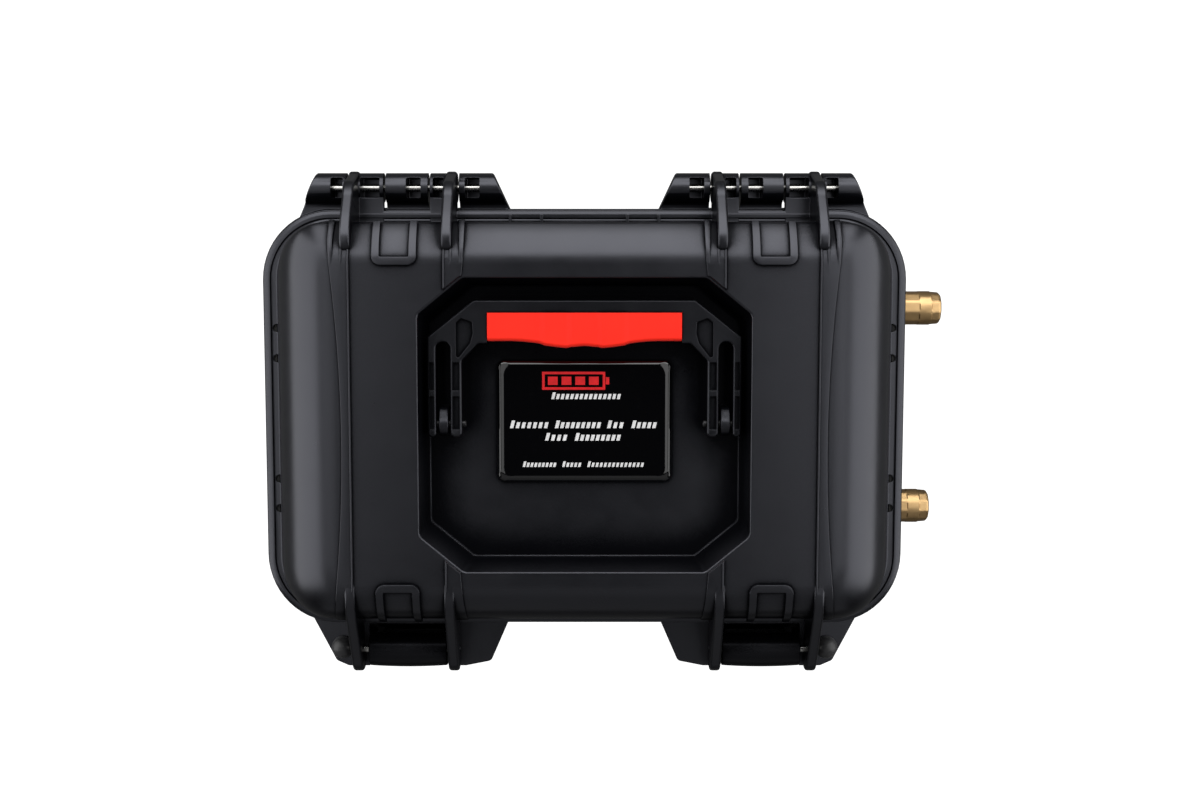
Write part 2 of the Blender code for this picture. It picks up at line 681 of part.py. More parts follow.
def label_plate():
    bevel = 2.2
    low = RECESS_FLOOR_Z + GAP
    rings = []
    for inset, z in ((0, low), (0, low + 0.9), (bevel, low + LABEL_THICK)):
        corners = ((1, 1), (-1, 1), (-1, -1), (1, -1))
        rings.append([(a * (LABEL_X - inset), b * (LABEL_Y - inset) + 0.6, z) for a, b in corners])
    return finish(loft("label_plate", rings), LABEL_GLOSS)


def pressure_valve():
    """A vent plug in the front wall that lets air through and keeps water out."""
    head = rod("pressure_valve", (0, 95.0), 10.0, -112.6, -108.6 - GAP, "Y", 20)
    stem = rod("stem", (0, 95.0), 6.0, -109.5, -103.8, "Y", 16)
    add(head, stem)
    return finish(head, VALVE_PLASTIC)


# ---------------------------------------------------------------- terminal posts

def terminal_post(name, y, tip):
    """A brass post outside, with its stud running through the wall."""
    seat = 178.4
    profile = [(0.0, 141.0), (STUD_R - 1, 141.0), (STUD_R, 142.0), (STUD_R, seat)]
    profile += [(13.5, seat), (13.5, seat + 4.5), (POST_R + 0.2, seat + 5.0), (POST_R + 0.2, tip - 12.0)]
    profile += [(POST_R - 0.6, tip - 2.6)]
    profile += [(POST_R - 3.2 + x, tip - 2.6 + z) for x, z in arc((0, 0), 2.6, 15, 90, 3)]
    profile += [(0.0, tip)]
    return finish(turned(name, (0, y, POST_Z), profile, "X", 24), POST_BRASS)


def washer(name, y, radius, hole, low, high, sides, look):
    ring = rod(name, (y, POST_Z), radius, low, high, "X", sides)
    cut(ring, rod("hole", (y, POST_Z), hole, low - 1, high + 1, "X", 16))
    return finish(ring, look)


# ---------------------------------------------------------------- cells and wiring

def cell_centre(index):
    return CELL_BLOCK_X + (index - (CELL_COUNT - 1) / 2) * (CELL_X + 0.4)


def cell(index):
    """One prismatic cell with its two round terminals."""
    x = cell_centre(index)
    half_x, half_y = CELL_X / 2, CELL_Y / 2
    top = CELL_FLOOR_Z + CELL_Z
    body = box(f"cell_{index + 1}", (x - half_x, -half_y, CELL_FLOOR_Z), (x + half_x, half_y, top), 1.5)
    for y in (-TERMINAL_Y, TERMINAL_Y):
        add(body, rod("terminal", (x, y), TERMINAL_R, top - 2, top + TERMINAL_HEIGHT, "Z", 16))
        cut(body, rod("thread", (x, y), 3.0, top - 1, top + TERMINAL_HEIGHT + 1, "Z", 8))
    add(body, rod("vent", (x, 0.0), 8.0, top - 1, top + 0.8, "Z", 12))
    return finish(body, CELL_CASE)


def plate_level():
    """Where the flat links lie on the terminals."""
    return CELL_FLOOR_Z + CELL_Z + TERMINAL_HEIGHT + GAP


def busbar(index):
    """A flat copper link between two neighbouring cells."""
    y = -TERMINAL_Y if index % 2 == 0 else TERMINAL_Y
    start, end = cell_centre(index), cell_centre(index + 1)
    half = 9.0
    outline = arc((start, y), half, 90, 270, 6) + arc((end, y), half, -90, 90, 6)
    low = plate_level()
    bar = prism(f"busbar_{index + 1}", outline, low, low + 2.0)
    for x in (start, end):
        cut(bar, rod("hole", (x, y), 3.4, low - 1, low + 3, "Z", 8))
    return finish(bar, BUSBAR_COPPER)


def terminal_screw(name, x, y):
    """A hexagon-headed screw into one cell terminal."""
    low = plate_level() + 2.0 + GAP
    screw = rod(name, (x, y), 5.8, low, low + 4.0, "Z", 6)
    add(screw, rod("shank", (x, y), 2.4, low - 6.0, low + 1.0, "Z", 8))
    return finish(screw, SCREW_STEEL)


def end_plate(name, low, high):
    plate = box(name, (low, -78.0, CELL_FLOOR_Z), (high, 78.0, CELL_FLOOR_Z + 112.0), 0.8)
    return finish(plate, PLATE_RESIN)


def foam_cradle():
    """The foam block that packs the cells into the case."""
    top = 96.0
    clear = 0.8
    rings = [
        rounded_ring(159.0, 96.0, 22.0, FLOOR + 0.4),
        rounded_ring(163.2, 100.2, 25.5, FLOOR + 5.4),
        rounded_ring(165.6, 102.8, 26.5, top),
    ]
    foam = loft("foam_cradle", rings)
    half = CELL_COUNT * (CELL_X + 0.4) / 2 + 4.2
    low, high = CELL_BLOCK_X - half - clear, CELL_BLOCK_X + half + clear
    reach = CELL_Y / 2 + clear
    cut(foam, box("cell_well", (low, -reach, CELL_FLOOR_Z - 0.5), (high, reach, top + 5)))
    cut(foam, box("service_bay", (high - 5, -88.0, CELL_FLOOR_Z + 12), (170.0, 88.0, top + 5)))
    return finish(foam, FOAM_GREY)


def battery_monitor():
    """The protection circuit in its alloy case, standing against the cell block."""
    low = CELL_BLOCK_X + CELL_COUNT * (CELL_X + 0.4) / 2 + 6.0
    case = box("battery_monitor", (low, -62.0, 40.0), (low + 15.0, 12.0, 118.0), 1.5)
    for i in range(7):
        y = -55.0 + i * 10.0
        cut(case, box("groove", (low + 12.5, y, 30.0), (low + 20.0, y + 4.0, 130.0)))
    return finish(case, BMS_ALLOY)


def fuse_holder():
    """The main fuse, in the positive lead."""
    low = CELL_BLOCK_X + CELL_COUNT * (CELL_X + 0.4) / 2 + 6.0
    body = box("fuse_holder", (low, 28.0, 78.0), (low + 20.0, 76.0, 104.0), 2.0)
    return finish(body, FUSE_BODY)


def ring_lug(axis, centre, low, high):
    """The flat eye at the end of a cable."""
    eye = rod("lug", centre, 9.0, low, high, axis, 16)
    return eye


def cable(name, path, radius, look):
    return finish(tube(name, path, radius), look, 50.0)


def cable_with_eye(name, path, radius, look, axis, centre, low, high, hole):
    """A cable whose first end is joined to a flat eye."""
    lead = tube(name, path, radius)
    add(lead, ring_lug(axis, centre, low, high))
    cut(lead, rod("eye_hole", centre, hole, low - 3, high + 3, axis, 16))
    return finish(lead, look, 50.0)


def wiring():
    """The four heavy leads and the sensing harness."""
    level = plate_level()
    last = cell_centre(CELL_COUNT - 1)
    first = cell_centre(0)
    bay = CELL_BLOCK_X + CELL_COUNT * (CELL_X + 0.4) / 2 + 6.0
    stud_x = 149.0
    made = [
        cable_with_eye(
            "cable_cell_to_fuse",
            [(last + 7, TERMINAL_Y, level + 5), (last + 20, TERMINAL_Y, level + 5),
             (bay + 9, TERMINAL_Y, level - 6), (bay + 10, TERMINAL_Y, 104.6)],
            4.0, CABLE_RED, "Z", (last, TERMINAL_Y), level, level + 2.0, 3.4),
        cable_with_eye(
            "cable_fuse_to_post",
            [(stud_x + 2.5, POST_Y + 1, POST_Z + 8), (stud_x - 4, POST_Y, POST_Z + 30),
             (bay + 38, POST_Y - 6, 91.0), (bay + 20.8, POST_Y - 8, 91.0)],
            4.0, CABLE_RED, "X", (POST_Y, POST_Z), stud_x, stud_x + 3.0, STUD_R + GAP),
        cable_with_eye(
            "cable_monitor_to_post",
            [(stud_x + 2.5, -POST_Y - 1, POST_Z + 8), (stud_x - 4, -POST_Y, POST_Z + 30),
             (bay + 38, -POST_Y + 14, 91.0), (bay + 16.2, -POST_Y + 18, 91.0)],
            4.0, CABLE_BLACK, "X", (-POST_Y, POST_Z), stud_x, stud_x + 3.0, STUD_R + GAP),
        cable_with_eye(
            "cable_cell_to_monitor",
            [(first, TERMINAL_Y - 7, level + 5), (first + 4, 32.0, level + 5),
             (first + 40, 14.0, level + 3), (last, 14.0, level + 3),
             (bay + 5, 0.0, level), (bay + 7.5, -4.0, 122.0)],
            4.0, CABLE_BLACK, "Z", (first, TERMINAL_Y), level, level + 2.0, 3.4),
        cable(
            "sense_harness",
            [(first, -16.0, level), (first + 60, -14.0, level + 1), (last, -14.0, level),
             (bay + 3, -20.0, level - 1), (bay + 7, -24.0, 121.0)],
            2.4, HARNESS_SLEEVE),
    ]
    return made


def lid_foam():
    """A foam pad under the recess that holds the cells down."""
    pad = box("lid_foam", (-78.0, -68.0, 138.8), (54.0, 68.0, RECESS_FLOOR_Z - TUB_WALL - GAP), 1.5)
    return finish(pad, FOAM_GREY)


# ---------------------------------------------------------------- assembly

def axis_empty(name, place):
    """An empty on a joint's axis, which its moving pieces are parented to."""
    empty = bpy.data.objects.new(name, None)
    empty.location = Vector(place) * MM
    bpy.context.scene.collection.objects.link(empty)
    return empty


def attach(parent, pieces):
    inverse = Matrix.Translation(-parent.location)
    for piece in pieces:
        piece.parent = parent
        piece.matrix_parent_inverse = inverse


def terminal_set():
    """Both posts with their collars, seals and nuts."""
    for pole, y in (("positive", POST_Y), ("negative", -POST_Y)):
        terminal_post(f"post_{pole}", y, POST_TIP_X[pole])
        washer(f"post_collar_{pole}", y, 16.0, STUD_R + GAP, 173.0, 178.0, 20, CASE_PLASTIC)
        washer(f"post_seal_{pole}", y, 13.0, STUD_R + GAP, 170.2, 172.6, 16, SEAL_RUBBER)
        washer(f"post_nut_{pole}", y, 13.5, STUD_R + GAP, 156.6, 164.6, 6, NUT_BRASS)


def cell_pack():
    for index in range(CELL_COUNT):
        cell(index)
    for index in range(CELL_COUNT - 1):
        busbar(index)
    for index in range(CELL_COUNT):
        for tag, y in (("front", -TERMINAL_Y), ("rear", TERMINAL_Y)):
            terminal_screw(f"terminal_screw_{index + 1}_{tag}", cell_centre(index), y)
    edge = CELL_COUNT * (CELL_X + 0.4) / 2
    end_plate("end_plate_left", CELL_BLOCK_X - edge - 4.0, CELL_BLOCK_X - edge - 0.4)
    end_plate("end_plate_right", CELL_BLOCK_X + edge + 0.4, CELL_BLOCK_X + edge + 4.0)


def build():
    base_shell()
    hinge_pin("hinge_pin_left", -1)
    hinge_pin("hinge_pin_right", 1)
    lock_plug("lock_plug_left", -1)
    lock_plug("lock_plug_right", 1)
    pressure_valve()
    terminal_set()
    foam_cradle()
    cell_pack()
    battery_monitor()
    fuse_holder()
    wiring()
    lid_pieces = [lid_shell(), lid_gasket(), lid_foam(), label_plate()]
    lid_pieces += [latch_pin("latch_pin_left", -1), latch_pin("latch_pin_right", 1)]
    lid_axis = axis_empty("lid_axis", (0, HINGE_Y, HINGE_Z))
    attach(lid_axis, lid_pieces)
    handle_pieces = [handle_frame(), handle_grip()]
    handle_pieces += [handle_pin("handle_pin_left", -1), handle_pin("handle_pin_right", 1)]
    attach(axis_empty("handle_axis", (0, 0, HANDLE_Z)), handle_pieces)
    for tag, side in (("left", -1), ("right", 1)):
        axis = axis_empty(f"latch_{tag}_axis", (LATCH_X * side, LATCH_Y, LATCH_Z))
        attach(axis, [latch_lever(f"latch_{tag}", side)])


for leftover in list(bpy.data.objects):
    bpy.data.objects.remove(leftover)
build()
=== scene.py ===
import json
import math

import bmesh
import bpy
from mathutils import Matrix, Vector


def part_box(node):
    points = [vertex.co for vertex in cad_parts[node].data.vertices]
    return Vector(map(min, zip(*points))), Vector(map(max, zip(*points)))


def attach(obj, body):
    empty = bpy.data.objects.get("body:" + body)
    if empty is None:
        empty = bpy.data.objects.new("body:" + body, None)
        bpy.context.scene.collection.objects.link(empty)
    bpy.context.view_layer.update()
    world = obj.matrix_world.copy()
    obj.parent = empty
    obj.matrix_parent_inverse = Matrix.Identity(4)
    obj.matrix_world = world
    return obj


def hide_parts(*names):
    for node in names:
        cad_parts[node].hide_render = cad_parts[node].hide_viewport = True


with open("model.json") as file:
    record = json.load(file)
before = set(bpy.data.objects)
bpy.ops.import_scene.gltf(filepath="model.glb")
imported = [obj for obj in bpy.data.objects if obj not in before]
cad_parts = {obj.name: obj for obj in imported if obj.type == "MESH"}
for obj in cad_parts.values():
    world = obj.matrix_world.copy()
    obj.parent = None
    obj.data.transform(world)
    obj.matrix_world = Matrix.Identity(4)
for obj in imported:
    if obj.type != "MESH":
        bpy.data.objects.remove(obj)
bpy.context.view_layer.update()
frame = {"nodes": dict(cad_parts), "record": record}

# Shapes are in millimetres, in the frame's axes, and new_object scales them to metres.
# Materials, lights and the camera are in metres.
MM = 0.001

JOINTS = {joint["name"]: joint for joint in frame["record"]["behaviour"]["joints"]}


def joint_place(name):
    return Vector(JOINTS[name]["pos_m"]) / MM


def node_box(name):
    """Low corner, high corner and centre of a CAD node."""
    low, high = (Vector(corner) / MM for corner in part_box(name))
    return low, high, (low + high) / 2


# Case outline
FLANGE_X = node_box("base_shell")[1].x
FLANGE_Y = FLANGE_X * 0.651
FLANGE_R = 40.0
RIM_Z = 130.0
PARTING_Z = RIM_Z + 0.5
LEDGE_Z = 136.2
RIB_TOP_Z = node_box("lid_shell")[1].z
LID_TOP_Z = RIB_TOP_Z - 1.8
FOOT_X, FOOT_Y, FOOT_R = 171.5, 110.5, 31.0
SHOULDER_X, SHOULDER_Y = 36.0, 23.0
SHOULDER_Z = 138.0
# Depth of the shoulders at the ends, on the latch side and on the hinge side
END_DROP, SIDE_DROP, HINGE_DROP = 37.0, 21.0, 11.5
HINGE_EDGE_DROP, HINGE_EDGE_SHARE = 0.6, 0.04
TOP_R = 13.0
FOOT_FILLET = 2.2

# Handle recess
RECESS_FLOOR_Z = 150.0
RECESS_FLOOR_X, RECESS_FLOOR_Y = 86.6, 76.2
RECESS_TOP_X, RECESS_TOP_Y = 90.5, 80.5
CHAMFER_X, CHAMFER_Y = 24.4, 20.0
TUB_WALL = 3.0

# Hinges, latches and handle pivots
HINGE = joint_place("lid_hinge")
LATCH = joint_place("latch_right_swing")
PIVOT = joint_place("handle_fold")
KNUCKLE_R = 8.3
HINGE_EAR_R = 9.2
BORE_R = 2.3
# Spans along X, for the left side
HINGE_SPAN, HANDLE_SPAN = (-162.0, -44.0), (-88.0, -62.0)
LID_KNUCKLES = ((-132.0, -112.2), (-86.4, -71.2))
LID_WINDOWS = ((-125.2, -114.4), (-84.6, -78.6))
BASE_WINDOWS = ((-141.6, -134.9), (-99.6, -91.4), (-66.8, -58.6))
SLOT_CLEARANCE = 1.1
# Distance of each pair of ears from the middle, and the side on which its strap flares
RIBS = ((129.0, 1), (74.4, -1))
RIB_WIDTH = 6.0
EAR_R = 12.5
LATCH_WIDTH = 44.5
LATCH_BARREL_R = 9.4
WING_TOP_Z = 129.4
CATCH_Y = -124.0
SHELF_Z, LEVER_BACK_Y = 97.0, -137.3

AXES = {
    "X": lambda u, v, w: (w, u, v),
    "Y": lambda u, v, w: (u, w, v),
    "Z": lambda u, v, w: (u, v, w),
}


# ---------------------------------------------------------------- mesh helpers

def new_object(name, bm):
    bmesh.ops.recalc_face_normals(bm, faces=bm.faces)
    bmesh.ops.scale(bm, vec=(MM, MM, MM), verts=bm.verts)
    mesh = bpy.data.meshes.new(name)
    bm.to_mesh(mesh)
    bm.free()
    obj = bpy.data.objects.new(name, mesh)
    bpy.context.scene.collection.objects.link(obj)
    return obj


def add_loft(bm, rings):
    """Adds a closed surface through rings of equal point counts."""
    loops = [[bm.verts.new(point) for point in ring] for ring in rings]
    for lower, upper in zip(loops, loops[1:]):
        count = len(lower)
        for i in range(count):
            j = (i + 1) % count
            bm.faces.new((lower[i], lower[j], upper[j], upper[i]))
    bm.faces.new(list(reversed(loops[0])))
    bm.faces.new(loops[-1])


def loft(name, rings):
    bm = bmesh.new()
    add_loft(bm, rings)
    return new_object(name, bm)


def inset(outline, distance):
    """The outline moved inwards by a distance, corner by corner."""
    count = len(outline)
    turn = sum(
        outline[i - 1][0] * outline[i][1] - outline[i][0] * outline[i - 1][1] for i in range(count)
    )
    sign = 1.0 if turn > 0 else -1.0
    moved = []
    for i in range(count):
        here = Vector(outline[i])
        before = (here - Vector(outline[i - 1])).normalized()
        after = (Vector(outline[(i + 1) % count]) - here).normalized()
        inward = Vector((-before.y - after.y, before.x + after.x)) * sign
        stretch = max(1.0 + before.dot(after), 0.35)
        moved.append(tuple(here + inward * (distance / stretch)))
    return moved


def rim_steps(low, high, radius, segments):
    """(inset, distance along) pairs that round both ends of a prism."""
    steps = []
    for i in range(segments + 1):
        angle = math.radians(90.0 * i / segments)
        steps.append((radius * (1 - math.sin(angle)), low + radius * (1 - math.cos(angle))))
    return steps + [(step, low + high - along) for step, along in reversed(steps)]


def prism(name, outline, start, end, axis="Z", round_edge=0.0, segments=3):
    """A prism with the rims of both ends rounded."""
    place = AXES[axis]
    outline = [tuple(point) for point in outline]
    steps = rim_steps(start, end, round_edge, segments) if round_edge else [(0.0, start), (0.0, end)]
    return loft(name, [[place(u, v, w) for u, v in inset(outline, step)] for step, w in steps])


def arc(centre, radius, start, end, steps):
    points = []
    for i in range(steps + 1):
        angle = math.radians(start + (end - start) * i / steps)
        points.append((centre[0] + radius * math.cos(angle), centre[1] + radius * math.sin(angle)))
    return points


def circle(centre, radius, sides):
    return arc(centre, radius, 0.0, 360.0, sides)[:-1]


def rod(name, centre, radius, start, end, axis="X", sides=32, round_edge=0.0):
    return prism(name, circle(centre, radius, sides), start, end, axis, round_edge)


def box(name, low, high, round_edge=0.0, segments=2):
    bm = bmesh.new()
    centre = (Vector(low) + Vector(high)) / 2
    size = Vector(high) - Vector(low)
    matrix = Matrix.Translation(centre) @ Matrix.Diagonal((*size, 1.0))
    bmesh.ops.create_cube(bm, size=1.0, matrix=matrix)
    if round_edge:
        shape = {"segments": segments, "profile": 0.5, "affect": "EDGES"}
        bmesh.ops.bevel(bm, geom=bm.edges, offset=round_edge, **shape)
    return new_object(name, bm)


def turned(name, centre, profile, axis, sides):
    """A solid of revolution: profile is (radius, distance along the axis), end to end."""
    place = AXES[axis]
    bm = bmesh.new()
    origin = Vector(centre)
    loops = []
    for radius, along in profile:
        spots = circle((0, 0), radius, sides) if radius else [(0.0, 0.0)]
        loops.append([bm.verts.new(origin + Vector(place(u, v, along))) for u, v in spots])
    for first, second in zip(loops, loops[1:]):
        for i in range(sides):
            j = (i + 1) % sides
            corners = [first[i % len(first)], first[j % len(first)]]
            corners += [second[j % len(second)], second[i % len(second)]]
            bm.faces.new(list(dict.fromkeys(corners)))
    return new_object(name, bm)


def combine(target, tools, operation):
    """Applies Booleans to the target, one tool after another. MANIFOLD is used because
    EXACT fails here: many bands and ears cross the lid at shallow angles."""
    for tool in tools:
        modifier = target.modifiers.new("combine", "BOOLEAN")
        modifier.operation = operation
        modifier.solver = "MANIFOLD"
        modifier.object = tool
        graph = bpy.context.evaluated_depsgraph_get()
        result = bpy.data.meshes.new_from_object(target.evaluated_get(graph))
        target.modifiers.remove(modifier)
        target.data = result
        bpy.data.objects.remove(tool)
    return target


def add(target, *tools):
    return combine(target, tools, "UNION")


def cut(target, *tools):
    return combine(target, tools, "DIFFERENCE")


def rounded_ring(half_x, half_y, radius, z, steps=14):
    ring = []
    for side_x, side_y, start in ((1, 1, 0), (-1, 1, 90), (-1, -1, 180), (1, -1, 270)):
        centre = (side_x * (half_x - radius), side_y * (half_y - radius))
        ring.extend((x, y, z) for x, y in arc(centre, radius, start, start + 90, steps))
    return ring


def rounded_polygon(corners, radius, steps):
    """The outline with each corner replaced by an arc that touches both of its sides.
    radius is one number, or one for each corner."""
    outline = []
    count = len(corners)
    radii = radius if isinstance(radius, (list, tuple)) else [radius] * count
    for i, corner in enumerate(corners):
        here = Vector(corner)
        before = (Vector(corners[i - 1]) - here).normalized()
        after = (Vector(corners[(i + 1) % count]) - here).normalized()
        half = before.angle(after) / 2
        reach = radii[i] / math.tan(half)
        start, end = here + before * reach, here + after * reach
        centre = here + (before + after).normalized() * (radii[i] / math.sin(half))
        for k in range(steps + 1):
            mix = start.lerp(end, k / steps) - centre
            outline.append(tuple(centre + mix.normalized() * radii[i]))
    return outline


def octagon_ring(half_x, half_y, z, radius=5.0, steps=5):
    near_x, near_y = half_x - CHAMFER_X, half_y - CHAMFER_Y
    corners = [
        (half_x, near_y), (near_x, half_y), (-near_x, half_y), (-half_x, near_y),
        (-half_x, -near_y), (-near_x, -half_y), (near_x, -half_y), (half_x, -near_y),
    ]
    return [(x, y, z) for x, y in rounded_polygon(corners, radius, steps)]


def mirrored_range(low, high, side):
    """A span given for the left side, on the side asked for."""
    return (low, high) if side < 0 else (-high, -low)


# ---------------------------------------------------------------- materials

def node(tree, kind, **inputs):
    """A shader node with some of its inputs set; an underscore stands for a space."""
    made = tree.nodes.new(kind)
    for key, value in inputs.items():
        made.inputs[key.replace("_", " ")].default_value = value
    return made


def start_material(name, colour, roughness, metallic=0.0):
    made = bpy.data.materials.new(name)
    made.use_nodes = True
    tree = made.node_tree
    shader = tree.nodes["Principled BSDF"]
    shader.inputs["Base Color"].default_value = (*colour, 1.0)
    shader.inputs["Roughness"].default_value = roughness
    shader.inputs["Metallic"].default_value = metallic
    place = tree.nodes.new("ShaderNodeTexCoord").outputs["Object"]
    return made, tree, shader, place


def noise(tree, place, scale, detail=3.0, roughness=0.55):
    made = node(tree, "ShaderNodeTexNoise", Scale=scale, Detail=detail, Roughness=roughness)
    tree.links.new(place, made.inputs["Vector"])
    return made.outputs["Fac"]


def remap(tree, value, low, high, new_low, new_high):
    ends = {"From Min": low, "From Max": high, "To Min": new_low, "To Max": new_high}
    made = node(tree, "ShaderNodeMapRange", **ends)
    tree.links.new(value, made.inputs["Value"])
    return made.outputs["Result"]


def mix_colour(tree, share, first, second):
    made = tree.nodes.new("ShaderNodeMix")
    made.data_type = "RGBA"
    made.inputs["A"].default_value = (*first, 1.0)
    made.inputs["B"].default_value = (*second, 1.0)
    tree.links.new(share, made.inputs["Factor"])
    return made.outputs["Result"]


def bump(tree, shader, height, strength, distance, soften=0.0):
    """Fine relief; soften rounds the look of hard edges by that radius in metres."""
    made = node(tree, "ShaderNodeBump", Strength=strength, Distance=distance)
    tree.links.new(height, made.inputs["Height"])
    if soften:
        edges = node(tree, "ShaderNodeBevel", Radius=soften)
        edges.samples = 6
        tree.links.new(edges.outputs["Normal"], made.inputs["Normal"])
    tree.links.new(made.outputs["Normal"], shader.inputs["Normal"])


def link(tree, output, shader, socket):
    tree.links.new(output, shader.inputs[socket])


def joined(tree, operation, first, second):
    """One number made from two."""
    made = tree.nodes.new("ShaderNodeMath")
    made.operation = operation
    tree.links.new(first, made.inputs[0])
    tree.links.new(second, made.inputs[1])
    return made.outputs["Value"]


def axis_z(tree, vector):
    split = tree.nodes.new("ShaderNodeSeparateXYZ")
    tree.links.new(vector, split.inputs["Vector"])
    return split.outputs["Z"]


# How open a spot is to its surroundings where the painted shade in hollows is at its deepest and where it
# stops
HOLLOW_SHUT, HOLLOW_OPEN = 0.76, 0.98
HOLLOW_REACH = 0.025
# Heights between which a level face stops counting as the ledge round the lid
LEDGE_FADE = (0.146, 0.149)
# Specular level in the deepest hollows: painted shade
HOLLOW_SHADE_GLOSS = 0.06
PLASTIC_TINT = (0.87, 0.885, 1.0, 1.0)
SHINE_SPREAD = 0.03
GRAIN_DEPTH = 0.000012


def hollow_shade_gloss(tree, place, gloss):
    """Specular level lowered in hollows by an occlusion node, which paints shade there; not on the ledge
    round the lid.
    """
    hollow = node(tree, "ShaderNodeAmbientOcclusion", Distance=HOLLOW_REACH)
    hollow.samples = 4
    normal = tree.nodes.new("ShaderNodeTexCoord").outputs["Normal"]
    level_face = remap(tree, axis_z(tree, normal), 0.80, 0.95, 0.0, 1.0)
    below_shoulder = remap(tree, axis_z(tree, place), *LEDGE_FADE, 1.0, 0.0)
    on_ledge = joined(tree, "MULTIPLY", level_face, below_shoulder)
    openness = joined(tree, "MAXIMUM", hollow.outputs["AO"], on_ledge)
    return remap(tree, openness, HOLLOW_SHUT, HOLLOW_OPEN, HOLLOW_SHADE_GLOSS, gloss)


def moulded_plastic(name, colour, worn_and_lit, roughness, gloss=0.75, grain=2600.0):
    """Injection-moulded plastic: fine grain, faint flow marks, paler edges that are part wear and part
    painted highlight, and painted shade in hollows.
    """
    made, tree, shader, place = start_material(name, colour, roughness)
    # Specular level lowered in hollows: painted shade
    link(tree, hollow_shade_gloss(tree, place, gloss), shader, "Specular IOR Level")
    shader.inputs["Specular Tint"].default_value = PLASTIC_TINT
    broad = noise(tree, place, 22.0, 4.0)
    tint = mix_colour(tree, remap(tree, broad, 0.3, 0.7, 0.0, 0.35), colour, worn_and_lit)
    # Paler edges: part rub wear, part painted highlight along the edges
    edge = tree.nodes.new("ShaderNodeNewGeometry").outputs["Pointiness"]
    rubbed_and_lit_edges = mix_colour(tree, remap(tree, edge, 0.52, 0.60, 0.0, 0.55), colour, worn_and_lit)
    tree.links.new(tint, rubbed_and_lit_edges.node.inputs["A"])
    link(tree, rubbed_and_lit_edges, shader, "Base Color")
    patches = noise(tree, place, 60.0, 5.0)
    shine = remap(tree, patches, 0.25, 0.75, roughness - SHINE_SPREAD, roughness + SHINE_SPREAD)
    link(tree, shine, shader, "Roughness")
    bump(tree, shader, noise(tree, place, grain, 2.0), 0.35, GRAIN_DEPTH, 0.0005)
    return made


def turned_metal(name, colour, dull, roughness, axis_scale):
    """Metal with fine turning marks round its length."""
    made, tree, shader, place = start_material(name, colour, roughness, 1.0)
    stretch = node(tree, "ShaderNodeMapping", Scale=axis_scale)
    tree.links.new(place, stretch.inputs["Vector"])
    rings = noise(tree, stretch.outputs["Vector"], 900.0, 4.0)
    cloud = remap(tree, noise(tree, place, 120.0, 4.0), 0.35, 0.7, 0.0, 0.8)
    link(tree, mix_colour(tree, cloud, colour, dull), shader, "Base Color")
    shine = remap(tree, rings, 0.3, 0.7, roughness - 0.06, roughness + 0.08)
    link(tree, shine, shader, "Roughness")
    bump(tree, shader, rings, 0.4, 0.00002)
    return made


def soft_rubber(name, colour, dark, roughness, gloss=0.5, grain=1500.0):
    """Moulded elastomer with a dusty matte skin."""
    made, tree, shader, place = start_material(name, colour, roughness)
    shader.inputs["Sheen Weight"].default_value = 0.15 * gloss
    shader.inputs["Specular IOR Level"].default_value = gloss
    broad = noise(tree, place, 45.0, 3.0)
    shade = remap(tree, broad, 0.3, 0.75, 0.0, 0.5)
    link(tree, mix_colour(tree, shade, colour, dark), shader, "Base Color")
    shine = remap(tree, broad, 0.3, 0.7, roughness - 0.05, roughness + 0.07)
    link(tree, shine, shader, "Roughness")
    bump(tree, shader, noise(tree, place, grain, 3.0), 0.3, 0.00004)
    return made


def closed_foam(name, colour, pale):
    """Cut closed-cell foam: small pits all over."""
    made, tree, shader, place = start_material(name, colour, 0.95)
    cells = node(tree, "ShaderNodeTexVoronoi", Scale=700.0)
    tree.links.new(place, cells.inputs["Vector"])
    pits = cells.outputs["Distance"]
    shade = remap(tree, pits, 0.0, 0.6, 0.0, 1.0)
    link(tree, mix_colour(tree, shade, colour, pale), shader, "Base Color")
    bump(tree, shader, pits, 0.6, 0.0004)
    return made


def gloss_plate(name, colour, dusty, roughness):
    """Lacquered plate with faint dust and fine scratches."""
    made, tree, shader, place = start_material(name, colour, roughness)
    shader.inputs["Coat Weight"].default_value = 0.6
    shader.inputs["Coat Roughness"].default_value = 0.04
    dust = noise(tree, place, 420.0, 6.0, 0.7)
    link(tree, remap(tree, dust, 0.45, 0.8, roughness, roughness + 0.05), shader, "Roughness")
    shade = remap(tree, dust, 0.6, 0.85, 0.0, 1.0)
    link(tree, mix_colour(tree, shade, colour, dusty), shader, "Base Color")
    return made


def printed_ink(name, colour):
    """Slightly uneven print."""
    made, tree, shader, place = start_material(name, colour, 0.35)
    faded = tuple(channel * 0.78 for channel in colour)
    shade = remap(tree, noise(tree, place, 260.0, 4.0), 0.35, 0.7, 0.0, 1.0)
    link(tree, mix_colour(tree, shade, colour, faded), shader, "Base Color")
    return made


# Per look: material name, main colour, second colour, roughness, then what its maker adds
PLASTICS = {
    "case": ("moulded_case", (0.0016, 0.0017, 0.0024), (0.0030, 0.0032, 0.0042), 0.30),
    # The latch look is a darker, duller copy of the case plastic: painted shade on the latches
    "latch": ("moulded_latch", (0.0012, 0.0012, 0.0016), (0.0024, 0.0025, 0.0032), 0.28, 0.28),
    "handle": ("moulded_handle", (0.0014, 0.0015, 0.0020), (0.0028, 0.0029, 0.0036), 0.30, 0.55),
    "film": ("cell_film", (0.02, 0.09, 0.34), (0.03, 0.13, 0.42), 0.30, 0.75, 900.0),
    "resin": ("resin_plate", (0.42, 0.36, 0.14), (0.52, 0.47, 0.22), 0.45, 0.75, 700.0),
    "fuse": ("fuse_plastic", (0.40, 0.40, 0.38), (0.55, 0.55, 0.52), 0.40, 0.75, 1400.0),
    "valve": ("valve_plastic_look", (0.04, 0.04, 0.042), (0.08, 0.08, 0.08), 0.45),
}
